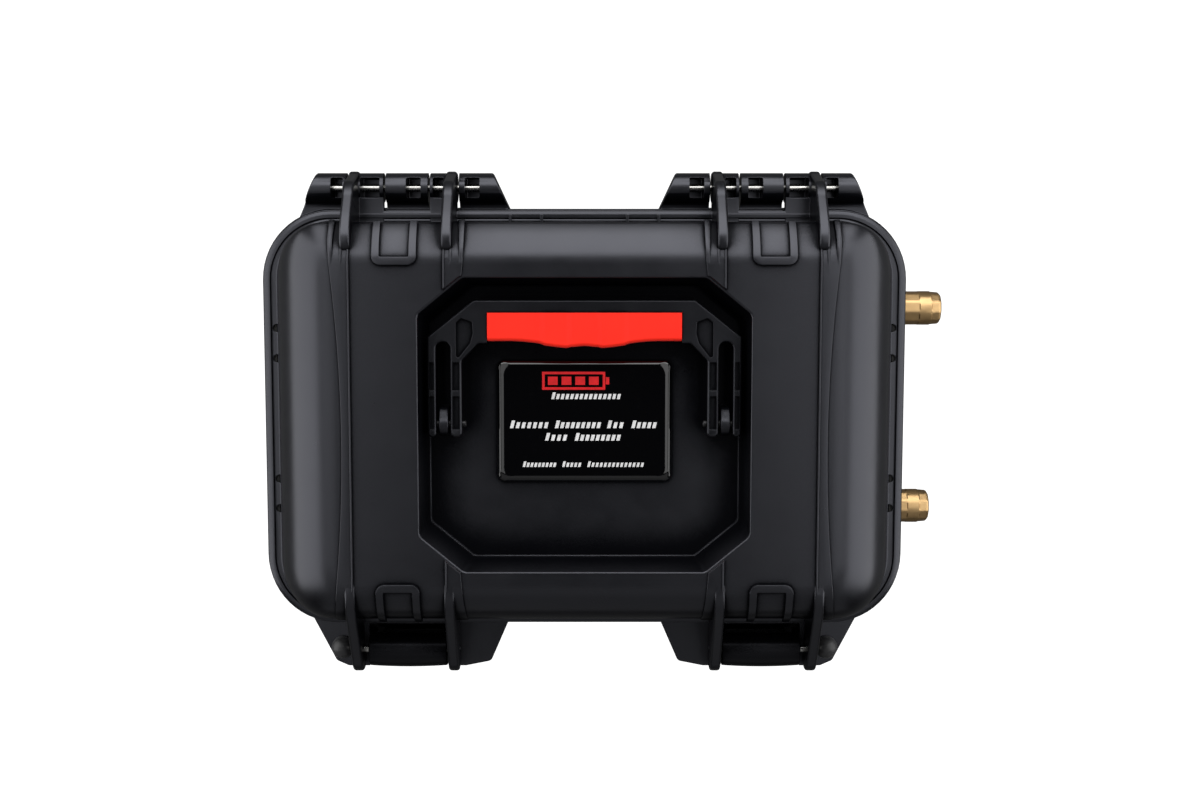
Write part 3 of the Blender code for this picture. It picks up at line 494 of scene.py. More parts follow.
METALS = {
    "dark_pin": ("blackened_steel", (0.05, 0.05, 0.052), (0.03, 0.03, 0.03), 0.4, (6.0, 1.0, 1.0)),
    "pin": ("pin_steel_look", (0.74, 0.73, 0.70), (0.55, 0.54, 0.52), 0.24, (6.0, 1.0, 1.0)),
    "brass": ("post_brass_look", (0.62, 0.41, 0.195), (0.52, 0.345, 0.165), 0.34, (8.0, 0.4, 0.4)),
    "nut": ("nut_brass_look", (0.78, 0.60, 0.32), (0.60, 0.44, 0.22), 0.34, (1.0, 1.0, 1.0)),
    "copper": ("busbar_look", (0.86, 0.47, 0.30), (0.62, 0.32, 0.20), 0.30, (1.0, 6.0, 1.0)),
    "screw": ("screw_look", (0.60, 0.60, 0.58), (0.42, 0.42, 0.41), 0.32, (1.0, 1.0, 4.0)),
    "alloy": ("monitor_alloy", (0.09, 0.10, 0.12), (0.05, 0.055, 0.07), 0.42, (1.0, 1.0, 6.0)),
}
RUBBERS = {
    "grip": ("red_grip", (0.97, 0.016, 0.004), (0.90, 0.020, 0.002), 0.55, 0.3),
    "seal": ("seal_rubber_look", (0.018, 0.018, 0.018), (0.03, 0.03, 0.03), 0.75),
    "plug": ("plug_rubber_look", (0.028, 0.028, 0.030), (0.018, 0.018, 0.018), 0.42),
    "red_cable": ("red_cable_look", (0.50, 0.014, 0.012), (0.36, 0.010, 0.010), 0.42),
    "black_cable": ("black_cable_look", (0.016, 0.016, 0.017), (0.03, 0.03, 0.03), 0.42),
    "sleeve": ("harness_look", (0.52, 0.40, 0.03), (0.34, 0.25, 0.02), 0.6, 0.5, 4000.0),
}
LOOKS = {}


def make_looks():
    for maker, table in ((moulded_plastic, PLASTICS), (turned_metal, METALS), (soft_rubber, RUBBERS)):
        for look, values in table.items():
            LOOKS[look] = maker(*values)
    LOOKS["foam"] = closed_foam("foam_look", (0.030, 0.030, 0.034), (0.075, 0.075, 0.080))
    LOOKS["label"] = gloss_plate("label_lacquer", (0.0012, 0.0012, 0.0016), (0.004, 0.004, 0.005), 0.06)
    LOOKS["red_ink"] = printed_ink("red_ink", (0.72, 0.012, 0.016))
    LOOKS["pale_ink"] = printed_ink("pale_ink", (0.80, 0.80, 0.80))


def finish_piece(obj, look, body, nodes=(), smooth_angle=32.0, weighted=True):
    """Material, smooth faces, the body it rides on and the CAD nodes it stands for."""
    obj.data.materials.clear()
    obj.data.materials.append(LOOKS[look])
    obj.data.shade_smooth()
    obj.data.set_sharp_from_angle(angle=math.radians(smooth_angle))
    if weighted:
        modifier = obj.modifiers.new("even_shading", "WEIGHTED_NORMAL")
        modifier.keep_sharp = True
        modifier.weight = 60
    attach(obj, body)
    if nodes:
        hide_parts(*nodes)
    return obj


# ---------------------------------------------------------------- shapes that both shells use

def flange_ring(step, z):
    """The flange's outline, moved inwards by step."""
    return rounded_ring(FLANGE_X - step, FLANGE_Y - step, FLANGE_R - step, z)


def pin_window(span, side):
    """Opening in a knuckle through which the hinge pin shows."""
    low, high = mirrored_range(*span, side)
    return box("window", (low, 124.3, 123.5), (high, 135.6, 145.0), 0.8)


def rim_band(name, outer_inset, inner_inset, low, high):
    """A band that follows the rim, between two distances in from the flange's edge."""
    outer = loft(name, [flange_ring(outer_inset, z) for z in (low, high)])
    inner = loft(name + "_inner", [flange_ring(inner_inset, z) for z in (low - 1, high + 1)])
    return cut(outer, inner)


# ---------------------------------------------------------------- lid surface

def lid_section(share):
    """Half widths and corner radius of the lid's skin, from foot (0) to top (1)."""
    radius = FOOT_R + (TOP_R - FOOT_R) * share
    return FOOT_X - SHOULDER_X * share, FOOT_Y - SHOULDER_Y * share, radius


def outside(x, y, half_x, half_y, radius):
    """Signed distance from a plan point to a rounded rectangle, positive outside."""
    over_x = abs(x) - (half_x - radius)
    over_y = abs(y) - (half_y - radius)
    if over_x > 0 and over_y > 0:
        return math.hypot(over_x, over_y) - radius
    return max(over_x, over_y) - radius


def facing(x, y, half_x, half_y, radius):
    """How far the skin at a plan point faces along Y (1) rather than along X (0)."""
    over_x = max(abs(x) - (half_x - radius), 0.0)
    over_y = max(abs(y) - (half_y - radius), 0.0)
    if over_x == 0.0 and over_y == 0.0:
        return 0.0 if half_x - abs(x) < half_y - abs(y) else 1.0
    return over_y * over_y / (over_x * over_x + over_y * over_y)


def shoulder_height(share, along_y, hinge_side):
    """Height of the skin: the ends roll over deepest, and the hinge side keeps a crisp lower edge."""
    roll = max(0.0, 1.0 - share)
    drop = END_DROP + (SIDE_DROP - END_DROP) * along_y
    rolled = LID_TOP_Z - drop + drop * math.sqrt(max(0.0, 1.0 - roll * roll))
    if not hinge_side:
        return rolled
    edge = max(0.0, 1.0 - share / HINGE_EDGE_SHARE)
    sloped = LID_TOP_Z - HINGE_DROP * roll * roll - HINGE_EDGE_DROP * edge * edge
    return rolled + (sloped - rolled) * along_y


def lid_height(x, y):
    """Height of the lid's skin over a plan point."""
    low, high = 0.0, 1.0
    if outside(x, y, *lid_section(1.0)) <= 0:
        return LID_TOP_Z
    for _ in range(26):
        middle = (low + high) / 2
        if outside(x, y, *lid_section(middle)) > 0:
            high = middle
        else:
            low = middle
    return shoulder_height(low, facing(x, y, *lid_section(low)), y > 0)


def lid_point(x, y, rise):
    """A point rise above the lid's skin, measured along its normal."""
    step = 0.05
    slope_x = (lid_height(x + step, y) - lid_height(x - step, y)) / (2 * step)
    slope_y = (lid_height(x, y + step) - lid_height(x, y - step)) / (2 * step)
    normal = Vector((-slope_x, -slope_y, 1.0)).normalized()
    return Vector((x, y, lid_height(x, y))) + normal * rise


def ribbon(name, path, widths, rise, round_edge=0.6, sink=1.6):
    """A raised band on the lid's skin. widths gives how far it reaches to the left and to
    the right of the path; widths and rise may be functions of the place on the path."""
    rings = []
    for i, place in enumerate(path):
        here = Vector(place)
        before = Vector(path[max(i - 1, 0)])
        after = Vector(path[min(i + 1, len(path) - 1)])
        along = (after - before).normalized()
        across = Vector((-along.y, along.x))
        left, right = widths(here) if callable(widths) else widths
        top = rise(here) if callable(rise) else rise
        edge = min(round_edge, (left + right) * 0.45, top + sink * 0.5)
        profile = [(-right, -sink), (-right, top - edge)]
        profile += [(-right + edge * 0.3, top - edge * 0.3), (-right + edge, top)]
        profile += [((left - right) / 2, top)]
        profile += [(left - edge, top), (left - edge * 0.3, top - edge * 0.3)]
        profile += [(left, top - edge), (left, -sink)]
        ring = []
        for offset, height in profile:
            spot = here + across * offset
            ring.append(lid_point(spot.x, spot.y, height))
        rings.append(ring)
    return loft(name, rings)


# ---------------------------------------------------------------- lid

# Lip of the lid: distance in from the flange edge, then how far below the lip's top it is at the
# ends, where the lip slopes outwards, and along the sides, where it is flat.
LIP_STEPS = ((1.20, 2.60, 2.60), (1.30, 2.15, 1.30), (1.60, 1.78, 0.45), (3.20, 0.78, 0.03),
             (3.55, 0.60, 0.02), (4.90, 0.32, 0.01), (5.25, 0.34, 0.06), (5.55, 0.55, 0.36),
             (5.80, 0.90, 0.75), (6.40, 0.96, 0.86))


def lid_outer():
    top = LEDGE_Z + 0.3
    rings = [flange_ring(1.7, PARTING_Z), flange_ring(1.2, PARTING_Z + 0.5)]
    for step, end_drop, side_drop in LIP_STEPS:
        plan = (FLANGE_X - step, FLANGE_Y - step, FLANGE_R - step)
        ring = []
        for x, y, _ in rounded_ring(*plan, 0.0):
            ring.append((x, y, top - end_drop + (end_drop - side_drop) * facing(x, y, *plan)))
        rings.append(ring)
    low = LEDGE_Z - 0.5
    for x, y in arc((0, 0), FOOT_FILLET, 270, 360, 5):
        reach = FOOT_FILLET - x
        plan = (FOOT_X + reach, FOOT_Y + reach, FOOT_R + reach)
        rings.append(rounded_ring(*plan, low + FOOT_FILLET + y))
    steps = 26
    for i in range(steps + 1):
        share = 1 - math.cos(math.radians(90 * i / steps))
        section = lid_section(share)
        ring = []
        for x, y, _ in rounded_ring(*section, 0.0):
            ring.append((x, y, shoulder_height(share, facing(x, y, *section), y > 0)))
        rings.append(ring)
    return loft("lid_skin", rings)


def lid_cavity():
    inner = 3.2
    foot = (FOOT_X - inner, FOOT_Y - inner, FOOT_R - inner)
    rings = [rounded_ring(*foot, PARTING_Z - 1, 8)]
    for i in range(9):
        angle = math.radians(90 * i / 8)
        share = 1 - math.cos(angle)
        z = SHOULDER_Z + (LID_TOP_Z - inner - SHOULDER_Z) * math.sin(angle)
        radius = foot[2] + (TOP_R - foot[2]) * share
        plan = (foot[0] - SHOULDER_X * share, foot[1] - SHOULDER_Y * share, radius)
        rings.append(rounded_ring(*plan, z, 8))
    cavity = loft("cavity", rings)
    tub = loft("tub", [
        octagon_ring(RECESS_FLOOR_X + TUB_WALL, RECESS_FLOOR_Y + TUB_WALL, RECESS_FLOOR_Z - TUB_WALL),
        octagon_ring(RECESS_TOP_X + TUB_WALL, RECESS_TOP_Y + TUB_WALL, LID_TOP_Z + 1),
    ])
    return cut(cavity, tub)


def recess_cutter():
    """The octagonal pocket: filleted where walls meet floor, rounded at its rim."""
    rise = LID_TOP_Z - RECESS_FLOOR_Z
    slope_x = (RECESS_TOP_X - RECESS_FLOOR_X) / rise
    slope_y = (RECESS_TOP_Y - RECESS_FLOOR_Y) / rise
    fillet, rim, over = 1.3, 1.0, 5.0
    rings = []
    for x, y in arc((0, 0), fillet, 270, 360, 5):
        reach = x - fillet
        z = RECESS_FLOOR_Z + fillet + y
        rings.append(octagon_ring(RECESS_FLOOR_X + reach, RECESS_FLOOR_Y + reach, z))
    base_x, base_y = RECESS_TOP_X - slope_x * rim, RECESS_TOP_Y - slope_y * rim
    for x, y in arc((0, 0), rim, 180, 90, 5):
        rings.append(octagon_ring(base_x + rim + x, base_y + rim + x, LID_TOP_Z - rim + y))
    rings.append(octagon_ring(base_x + rim + over * 0.5, base_y + rim + over * 0.5, LID_TOP_Z + over))
    return loft("recess", rings)


def ear_outline(hinge_end):
    """Side view of an ear, with its barrel, its slope and its run over the shoulder."""
    top = RIB_TOP_Z
    if hinge_end:
        outline = arc((HINGE.y, HINGE.z), HINGE_EAR_R, 173, 395, 30)
        outline += arc((111.0, 139.0), 27.0, 36, 60, 6)
        outline += [(117.0, 168.8), (109.5, 174.3), (105.0, 176.2), (101.5, top), (98.6, top - 0.2)]
        outline += [(96.4, top - 1.4), (94.0, top - 4.0), (94.0, 166.0), (104.0, 160.0), (104.0, 138.0)]
        return outline
    outline = [(-82.0, 168.0), (-82.0, 173.2), (-85.5, 174.7), (-89.0, 175.6), (-93.0, 175.8)]
    outline += [(-97.0, 175.4), (-101.5, 174.2), (-106.0, 172.2), (-110.5, 169.2)]
    outline += arc((LATCH.y, LATCH.z), EAR_R, 122, 213, 16)
    outline += [(-118.5, 137.0), (-104.0, 138.0), (-98.0, 160.0)]
    return outline


def lid_knuckle(low, high):
    outline = [(104.0, 136.2), (104.0, 131.2)]
    outline += arc((HINGE.y, HINGE.z), KNUCKLE_R, 173, 490, 36)
    return prism("lid_knuckle", outline, low, high, "X", 0.5)


def lid_run(start, end, phase=0.0):
    """Y values over the lid from start to end, closer together on the shoulders. Pieces
    that lie side by side take different phases, so that none of their edges coincide."""
    shoulder = [
        FOOT_Y - SHOULDER_Y * (1 - math.cos(math.radians(9 * (i - phase)))) for i in range(1, 11)
    ]
    middle = [80.0 - 8.0 * (i + phase) for i in range(21)]
    values = shoulder + middle + [-y for y in reversed(shoulder)]
    kept = [y for y in values if min(start, end) + 0.4 < y < max(start, end) - 0.4]
    run = [max(start, end)] + kept + [min(start, end)]
    return run if start > end else list(reversed(run))


def taper(start, stop):
    """A share that is 1 at start and beyond it, and falls to 0 at stop."""
    return lambda y: min(max((y - stop) / (start - stop), 0.0), 1.0)


def strap(x, outward):
    """The low band that carries on from an ear across the lid, narrowest halfway.
    outward is the side, along X, on which it flares."""
    narrow, flare, waist = 3.3, 0.00060, -8.0

    def widths(place):
        reach = min(narrow + flare * (place.y - waist) ** 2, 9.6)
        return (reach, 2.0) if outward > 0 else (2.0, reach)

    path = [(x, y) for y in lid_run(FOOT_Y - 0.6, -FOOT_Y + 0.6)]
    return ribbon("strap", path, widths, 0.75, 0.5)


def strap_bead(x, outward):
    """The crisp bead along the straight edge of a strap."""
    edge = x - outward * 1.55
    path = [(edge, y) for y in lid_run(FOOT_Y - 4.0, -FOOT_Y + 4.0, 0.3)]
    return ribbon("strap_bead", path, (0.55, 0.55), 1.25, 0.45, 1.13)


def side_ridge(x, outward):
    """The tall short ridge beside an ear, which runs out along the strap's flared edge."""
    start, stop = FOOT_Y + 0.2, 88.0
    share = taper(start, stop)

    def rise(place):
        return 0.8 + 1.5 * min(share(place.y) * 1.6, 1.0)

    def widths(place):
        return (0.7 + 1.3 * share(place.y) ** 0.6,) * 2

    path = []
    for y in lid_run(start, stop, 0.45):
        path.append((x + outward * (7.7 + 0.3 * math.sin(math.pi * share(y))), y))
    return ribbon("side_ridge", path, widths, rise, 0.8, 2.1)


def ear_runout(x, outward):
    """The thin tapered ridge in which a hinge ear ends on the lid."""
    start, stop = 100.3, 83.2
    share = taper(start, stop)

    def rise(place):
        return 0.7 + 0.7 * share(place.y)

    def widths(place):
        return (0.25 + 0.75 * share(place.y),) * 2

    path = [(x + outward * 2.23, y) for y in lid_run(start, stop, 0.6)]
    return ribbon("ear_runout", path, widths, rise, 0.4, 0.87)


def stacking_boss(side, end):
    """A raised U that keys into the underside of a case stacked on top."""
    low, high = mirrored_range(-112.6, -92.6, side)
    inner_y, corner = 89.4, 2.6
    legs = lid_run(FOOT_Y - 0.8, inner_y + corner)
    rising = [(low, y * end) for y in legs]
    falling = [(high, y * end) for y in reversed(legs)]
    turn = []
    for angle in (22, 45, 68, 90):
        across = corner * (1 - math.cos(math.radians(angle)))
        back_off = corner * (1 - math.sin(math.radians(angle)))
        turn.append((low + across, end * (inner_y + back_off)))
    back = [(low + high - x, y) for x, y in reversed(turn)]
    return ribbon("stacking_boss", rising + turn + back + falling, (2.15, 2.15), 1.75, 0.45)


def handle_lug(side):
    """Upright pivot lug with a long tail that fills the fork's slot."""
    floor, radius, tail = RECESS_FLOOR_Z - 1.8, 6.6, 9.3
    outline = [(-radius, floor), (tail, floor), (tail, PIVOT.z + 1.6), (tail - 0.8, PIVOT.z + 3.4)]
    outline += [(tail - 2.6, PIVOT.z + 4.6)]
    outline += arc((PIVOT.y, PIVOT.z), radius, 52, 180, 12)
    low, high = mirrored_range(-80.0, -74.5, side)
    return prism("handle_lug", outline, low, high, "X", 0.8)


def ledge_details():
    """Small ribs on the hinge-side ledge and drain notches along the end ledges."""
    half, radius = 0.8, 2.3
    ribs = []
    for x in (-41.5, -24.0, 24.0, 41.5):
        low = (x - half, FOOT_Y - 2.0, LEDGE_Z - 1.2)
        high = (x + half, FOOT_Y + 4.6, LEDGE_Z + 5.0)
        ribs.append(box("ledge_rib", low, high, 0.3))
    notches = []
    for side in (-1, 1):
        for y in (-51.0, -34.0, 34.5, 51.6):
            spot = (side * (FOOT_X + 1.9), y)
            notches.append(rod("notch", spot, radius, LEDGE_Z - 2.4, LEDGE_Z + 1.6, "Z", 24))
    return ribs, notches


def build_lid():
    skin = lid_outer()
    for side in (-1, 1):
        for distance, flare in RIBS:
            x, outward = side * distance, side * flare
            low, high = x - RIB_WIDTH / 2, x + RIB_WIDTH / 2
            for raised in (strap, strap_bead, ear_runout, side_ridge):
                add(skin, raised(x, outward))
            for hinge_end in (True, False):
                add(skin, prism("lid_ear", ear_outline(hinge_end), low, high, "X", 1.5, 4))
        for low, high in LID_KNUCKLES:
            add(skin, lid_knuckle(*mirrored_range(low, high, side)))
        for end in (-1, 1):
            add(skin, stacking_boss(side, end))
    ribs, notches = ledge_details()
    add(skin, *ribs)
    cut(skin, *notches)
    cut(skin, lid_cavity(), recess_cutter())
    for side in (-1, 1):
        add(skin, handle_lug(side))
        for pivot, span in ((HINGE, HINGE_SPAN), (LATCH, HINGE_SPAN), (PIVOT, HANDLE_SPAN)):
            cut(skin, rod("bore", (pivot.y, pivot.z), BORE_R, *mirrored_range(*span, side)))
        for span in LID_WINDOWS:
            cut(skin, pin_window(span, side))
    cut(skin, rim_band("gasket_groove", 4.0, 8.6, PARTING_Z - 1, PARTING_Z + 4))
    return finish_piece(skin, "case", "lid", ["lid_shell"])


# ---------------------------------------------------------------- base

# Plan of the base's walls: half widths and corner radius at the floor and under the flange
WALL_LOW = (168.0, 105.0, 30.0)
WALL_HIGH = (171.0, 108.5, 31.0)
BASE_EDGE = 8.0
FLANGE_UNDER_Z = 119.0


def base_outer():
    rings = []
    for x, y in arc((0, 0), BASE_EDGE, 270, 360, 8):
        plan = [value - (BASE_EDGE - x) for value in WALL_LOW]
        rings.append(rounded_ring(*plan, y + BASE_EDGE))
    rings.append(rounded_ring(*WALL_HIGH, 115.5))
    rings.append(rounded_ring(171.4, 108.9, 31.3, 116.6))
    rings.append(rounded_ring(172.6, 110.1, 32.0, 117.4))
    low_r, high_r = 1.2, 1.1
    for x, y in arc((0, 0), low_r, 270, 360, 4):
        rings.append(flange_ring(low_r - x, FLANGE_UNDER_Z + low_r + y))
    for x, y in arc((0, 0), high_r, 0, 90, 5):
        rings.append(flange_ring(high_r - x, RIM_Z - high_r + y))
    return loft("base_skin", rings)


def base_cavity():
    wall, slope = 3.5, 4.0
    low_x, low_y = WALL_LOW[0] - wall, WALL_LOW[1] - wall
    return loft("base_cavity", [
        rounded_ring(low_x - slope, low_y - slope, 22.5, 4.0, 8),
        rounded_ring(low_x, low_y, 26.5, 9.0, 8),
        rounded_ring(WALL_HIGH[0] - wall, WALL_HIGH[1] - wall, 27.5, RIM_Z + 2, 8),
    ])


def hinge_bracket(side):
    """Barrel and web of the base's half of a hinge, with slanted ends."""
    outline = [(119.2, 129.3), (113.0, 129.3), (113.0, 101.0), (118.0, 104.0)]
    outline += arc((HINGE.y, HINGE.z), KNUCKLE_R, -50, 175, 26)
    far, near, lean = -158.6, -42.4, 8.6
    slope = lean / (HINGE.y + KNUCKLE_R - FLANGE_Y)
    rings = []
    span = 10.0
    for step, along in rim_steps(0.0, span, 0.9, 3):
        far_end = along < span / 2
        offset = along if far_end else along - span
        ring = []
        for y, z in inset(outline, step):
            slant = slope * (y - FLANGE_Y)
            end = far + slant if far_end else near - slant
            ring.append(((end + offset) * -side, y, z))
        rings.append(ring)
    bracket = loft("hinge_bracket", rings)
    far, near, inner_y, outer_y = 157.0 * side, 44.0 * side, 100.0, 117.6
    plan = [(far, inner_y), (far, outer_y), (near, outer_y), (near, inner_y)]
    return add(bracket, prism("hinge_web", rounded_polygon(plan, 0.8, 3), 99.6, 125.0, "Z", 0.8))


def hinge_cuts(side):
    tools = []
    for low, high in LID_KNUCKLES:
        low, high = mirrored_range(low - SLOT_CLEARANCE, high + SLOT_CLEARANCE, side)
        tools.append(box("slot", (low, FLANGE_Y + 0.6, 90.0), (high, 145.0, 145.0)))
    tools += [pin_window(span, side) for span in BASE_WINDOWS]
    tools.append(rod("bore", (HINGE.y, HINGE.z), BORE_R, *mirrored_range(*HINGE_SPAN, side)))
    return tools


def latch_wing(side):
    """Guard on both sides of a latch, with a pocket for the lever and a bay below it."""
    plan = [(-156.5, -116.0), (-143.5, -141.2), (-136.5, -144.3), (-68.6, -144.3),
            (-54.0, -141.4), (-43.0, -116.0), (-43.0, -101.0), (-156.5, -101.0)]
    radii = [1.0] + [3.0] * 4 + [1.0] * 3
    plan = rounded_polygon([(x * -side, y) for x, y in plan], radii, 3)
    wing = prism("latch_wing", plan, 68.0, WING_TOP_Z, "Z", 0.9, 3)
    under = [(-95, 60), (-95, 70), (-146, 98), (-150, 98), (-150, 60)]
    cut(wing, prism("slope", under, -170, 170, "X"))
    half = LATCH_WIDTH / 2 + 1.6
    left, right, front = LATCH.x * side - half, LATCH.x * side + half, -150
    cut(wing, box("pocket", (left, front, SHELF_Z), (right, -FLANGE_Y - 0.6, 140), 1.0))
    cut(wing, box("lever_bay", (left, front, 60), (right, LEVER_BACK_Y, SHELF_Z + 12), 0.4))
    return wing


def latch_catch(side):
    """The step that the lever's nose passes, across the whole pocket."""
    centre, half = LATCH.x * side, LATCH_WIDTH / 2 + 2.4
    outline = [(-114.0, 84.0), (-114.0, 121.0), (-121.5, 121.0), (CATCH_Y, 117.5)]
    outline += [(CATCH_Y, 90.0), (-119.0, 84.0)]
    return prism("latch_catch", outline, centre - half, centre + half, "X", 0.5)


def wall_ribs():
    """Upright ribs under the flange, on the hinge side and at both ends."""
    ribs = []
    half, low, high, places = 1.4, 26.0, FLANGE_UNDER_Z, (-30.0, 0.0, 30.0)
    for x in places:
        ribs.append(box("rib", (x - half, 105.0, low), (x + half, 112.5, high), 0.8))
    for side in (-1, 1):
        for y in places:
            left, right = sorted((side * 167.0, side * 174.5))
            ribs.append(box("rib", (left, y - half, low), (right, y + half, high), 0.8))
    return ribs


def build_base():
    skin = base_outer()
    add(skin, *wall_ribs())
    for side in (-1, 1):
        add(skin, hinge_bracket(side), latch_wing(side), latch_catch(side))
    cut(skin, base_cavity())
    add(skin, rim_band("tongue", 5.1, 7.5, RIM_Z - 1, RIM_Z + 1.6))
    for side in (-1, 1):
        cut(skin, *hinge_cuts(side))
    for name in ("lock_plug_left", "lock_plug_right"):
        centre = node_box(name)[2]
        cut(skin, rod("plug_hole", (centre.x, centre.y), 4.35, 112, 140, "Z", 24))
    for name in ("post_positive", "post_negative"):
        centre = node_box(name)[2]
        cut(skin, rod("post_hole", (centre.y, centre.z), 8.35, 150, 190, "X", 32))
    cut(skin, rod("valve_hole", (0, 95.0), 6.35, -120, -90, "Y", 24))
    return finish_piece(skin, "case", "case", ["base_shell"])


# ---------------------------------------------------------------- latches, pins and plugs

def latch_lever(name, side):
    """Lever with a rounded barrel, a bowed face and a finger lip."""
    half = LATCH_WIDTH / 2
    centre = LATCH.x * side
    outline = arc((LATCH.y, LATCH.z), LATCH_BARREL_R, -20, 172, 26)
    outline += [(-142.0, 133.0), (-142.7, 124.0), (-143.0, 112.0), (-142.8, 101.0), (-143.4, 96.0)]
    outline += arc((-141.7, 92.6), 2.1, 170, 330, 6)
    outline += [(-138.9, 96.0), (-139.0, 101.0), (-130.0, 101.2), (-126.0, 102.6)]
    outline += [(CATCH_Y - 1.0, 105.2), (-127.4, 108.0), (-138.4, 109.4), (-138.0, 122.0), (-130.0, 129.0)]
    spans, edge_r = 12, 0.6
    ends = rim_steps(-half, half, edge_r, 2)
    middle = [(0.0, -half + edge_r + 2 * (half - edge_r) * i / spans) for i in range(1, spans)]
    places = ends[:3] + middle + ends[3:]
    front, rings = taper(-142.0, -137.0), []
    for step, across in places:
        bow = 1.0 - (across / half) ** 2
        rings.append([(centre + across, y - bow * front(y), z) for y, z in inset(outline, step)])
    lever = loft(name, rings)
    nose_half = 17.5
    for edge in (-1, 1):
        low, high = sorted((centre + edge * nose_half, centre + edge * (half + 2)))
        cut(lever, box("nose_end", (low, -137.6, 98), (high, -118, 111)))
    cut(lever, rod("bore", (LATCH.y, LATCH.z), BORE_R, centre - 40, centre + 40))
    low, high = centre - half + 5, centre + half - 5
    for level in (104.0, 109.0, 114.0):
        cut(lever, rod("finger_groove", (-144.9, level), 1.6, low, high, "X", 16))
    return finish_piece(lever, "latch", name, [name])


def steel_pin(name, body):
    low, high, centre = node_box(name)
    radius = (high.z - low.z) / 2
    tip = 0.5
    profile = [(0.0, low.x), (radius - tip, low.x), (radius, low.x + tip)]
    profile += [(radius, high.x - tip), (radius - tip, high.x), (0.0, high.x)]
    obj = turned(name + "_turned", (0, centre.y, centre.z), profile, "X", 32)
    look = "dark_pin" if name.startswith("handle") else "pin"
    return finish_piece(obj, look, body, [name])


def lock_plug(name):
    """Domed plug with a shank down the padlock eye."""
    low, high, centre = node_box(name)
    radius = (high.x - low.x) / 2
    seat = WING_TOP_Z + 0.35
    profile = [(0.0, low.z), (3.4, low.z), (4.0, low.z + 0.8), (4.0, seat)]
    profile += [(radius - 0.4, seat), (radius, seat + 0.3)]
    dome = seat + 0.6
    for x, y in arc((0, 0), radius, 0, 84, 12):
        profile.append((x, dome + y * (high.z - dome) / radius))
    profile.append((0.0, high.z))
    obj = turned(name + "_dome", (centre.x, centre.y, 0), profile, "Z", 40)
    return finish_piece(obj, "plug", "case", [name])


def pressure_valve():
    """Round cap with a ring of vent holes and a shank through the wall."""
    low, high, centre = node_box("pressure_valve")
    radius, shank_r, face, seat = (high.x - low.x) / 2, 6.0, low.y, -108.95
    profile = [(0.0, face + 0.9), (3.0, face + 0.9), (3.4, face + 0.1), (radius - 1.2, face)]
    profile += [(radius - 0.3, face + 0.4), (radius, face + 1.2), (radius, seat), (shank_r, seat)]
    profile += [(shank_r, high.y), (0.0, high.y)]
    cap = turned("pressure_valve_cap", (centre.x, 0, centre.z), profile, "Y", 48)
    for spot in circle((centre.x, centre.z), 6.4, 8):
        cut(cap, rod("vent", spot, 0.8, face - 1, face + 1.2, "Y", 12))
    return finish_piece(cap, "valve", "case", ["pressure_valve"])


# ---------------------------------------------------------------- handle

def handle_outline():
    """Plan of the handle: a bar with two forked arms."""
    end, top = -6.7, 68.4
    corners = [
        ((60.5, top), 3.0), ((85.9, 48.2), 1.5), ((85.9, end), 2.3), ((81.1, end), 2.3),
        ((81.1, 45.5), 3.75), ((73.5, 45.5), 3.75), ((73.5, end), 2.6), ((67.1, end), 2.6),
        ((67.1, 35.0), 2.0), ((58.0, 44.6), 3.0), ((0.0, 44.6), 0.01), ((0.0, top), 0.01),
    ]
    steps = 8
    half = rounded_polygon([place for place, _ in corners], [radius for _, radius in corners], steps)
    half = half[:-2 * (steps + 1)]
    left = [(-x, y) for x, y in reversed(half)]
    return half + left


def build_handle():
    """Frame with a slim core for the grip, pockets in its gussets and channels in its arms."""
    thick = 7.0
    low, high = PIVOT.z - thick, PIVOT.z + thick
    frame_bar = prism("handle_bar", handle_outline(), low, high, "Z", 1.2, 4)
    core, reach, rail_y = 4.8, 53.35, 61.75
    cut(frame_bar, box("above", (-reach, 30, PIVOT.z + core), (reach, rail_y, high + 5)))
    cut(frame_bar, box("below", (-reach, 30, low - 5), (reach, rail_y, PIVOT.z - core)))
    cut(frame_bar, box("front", (-reach, 30, low - 5), (reach, 48.6, high + 5)))
    for side in (-1, 1):
        for top in (-1, 1):
            face = PIVOT.z + top * thick
            lower, upper = sorted((face - top * 1.6, face + top * 2))
            corners = [(70.2, 56.0), (67.2, 58.6), (61.2, 56.4), (60.8, 50.0), (62.4, 44.6)]
            corners += [(68.9, 36.4), (70.2, 37.6)]
            pocket = rounded_polygon([(x * side, y) for x, y in corners], 0.9, 3)
            cut(frame_bar, prism("gusset_pocket", pocket, lower, upper))
            for inner, outer in ((82.2, 84.8), (68.2, 72.3)):
                left, right = sorted((inner * side, outer * side))
                for start, stop in ((-2.6, 15.8), (18.8, 34.4)):
                    cut(frame_bar, box("channel", (left, start, lower), (right, stop, upper), 0.5))
    cut(frame_bar, rod("bore", (PIVOT.y, PIVOT.z), BORE_R, -90, 90))
    return finish_piece(frame_bar, "handle", "handle", ["handle_frame"])


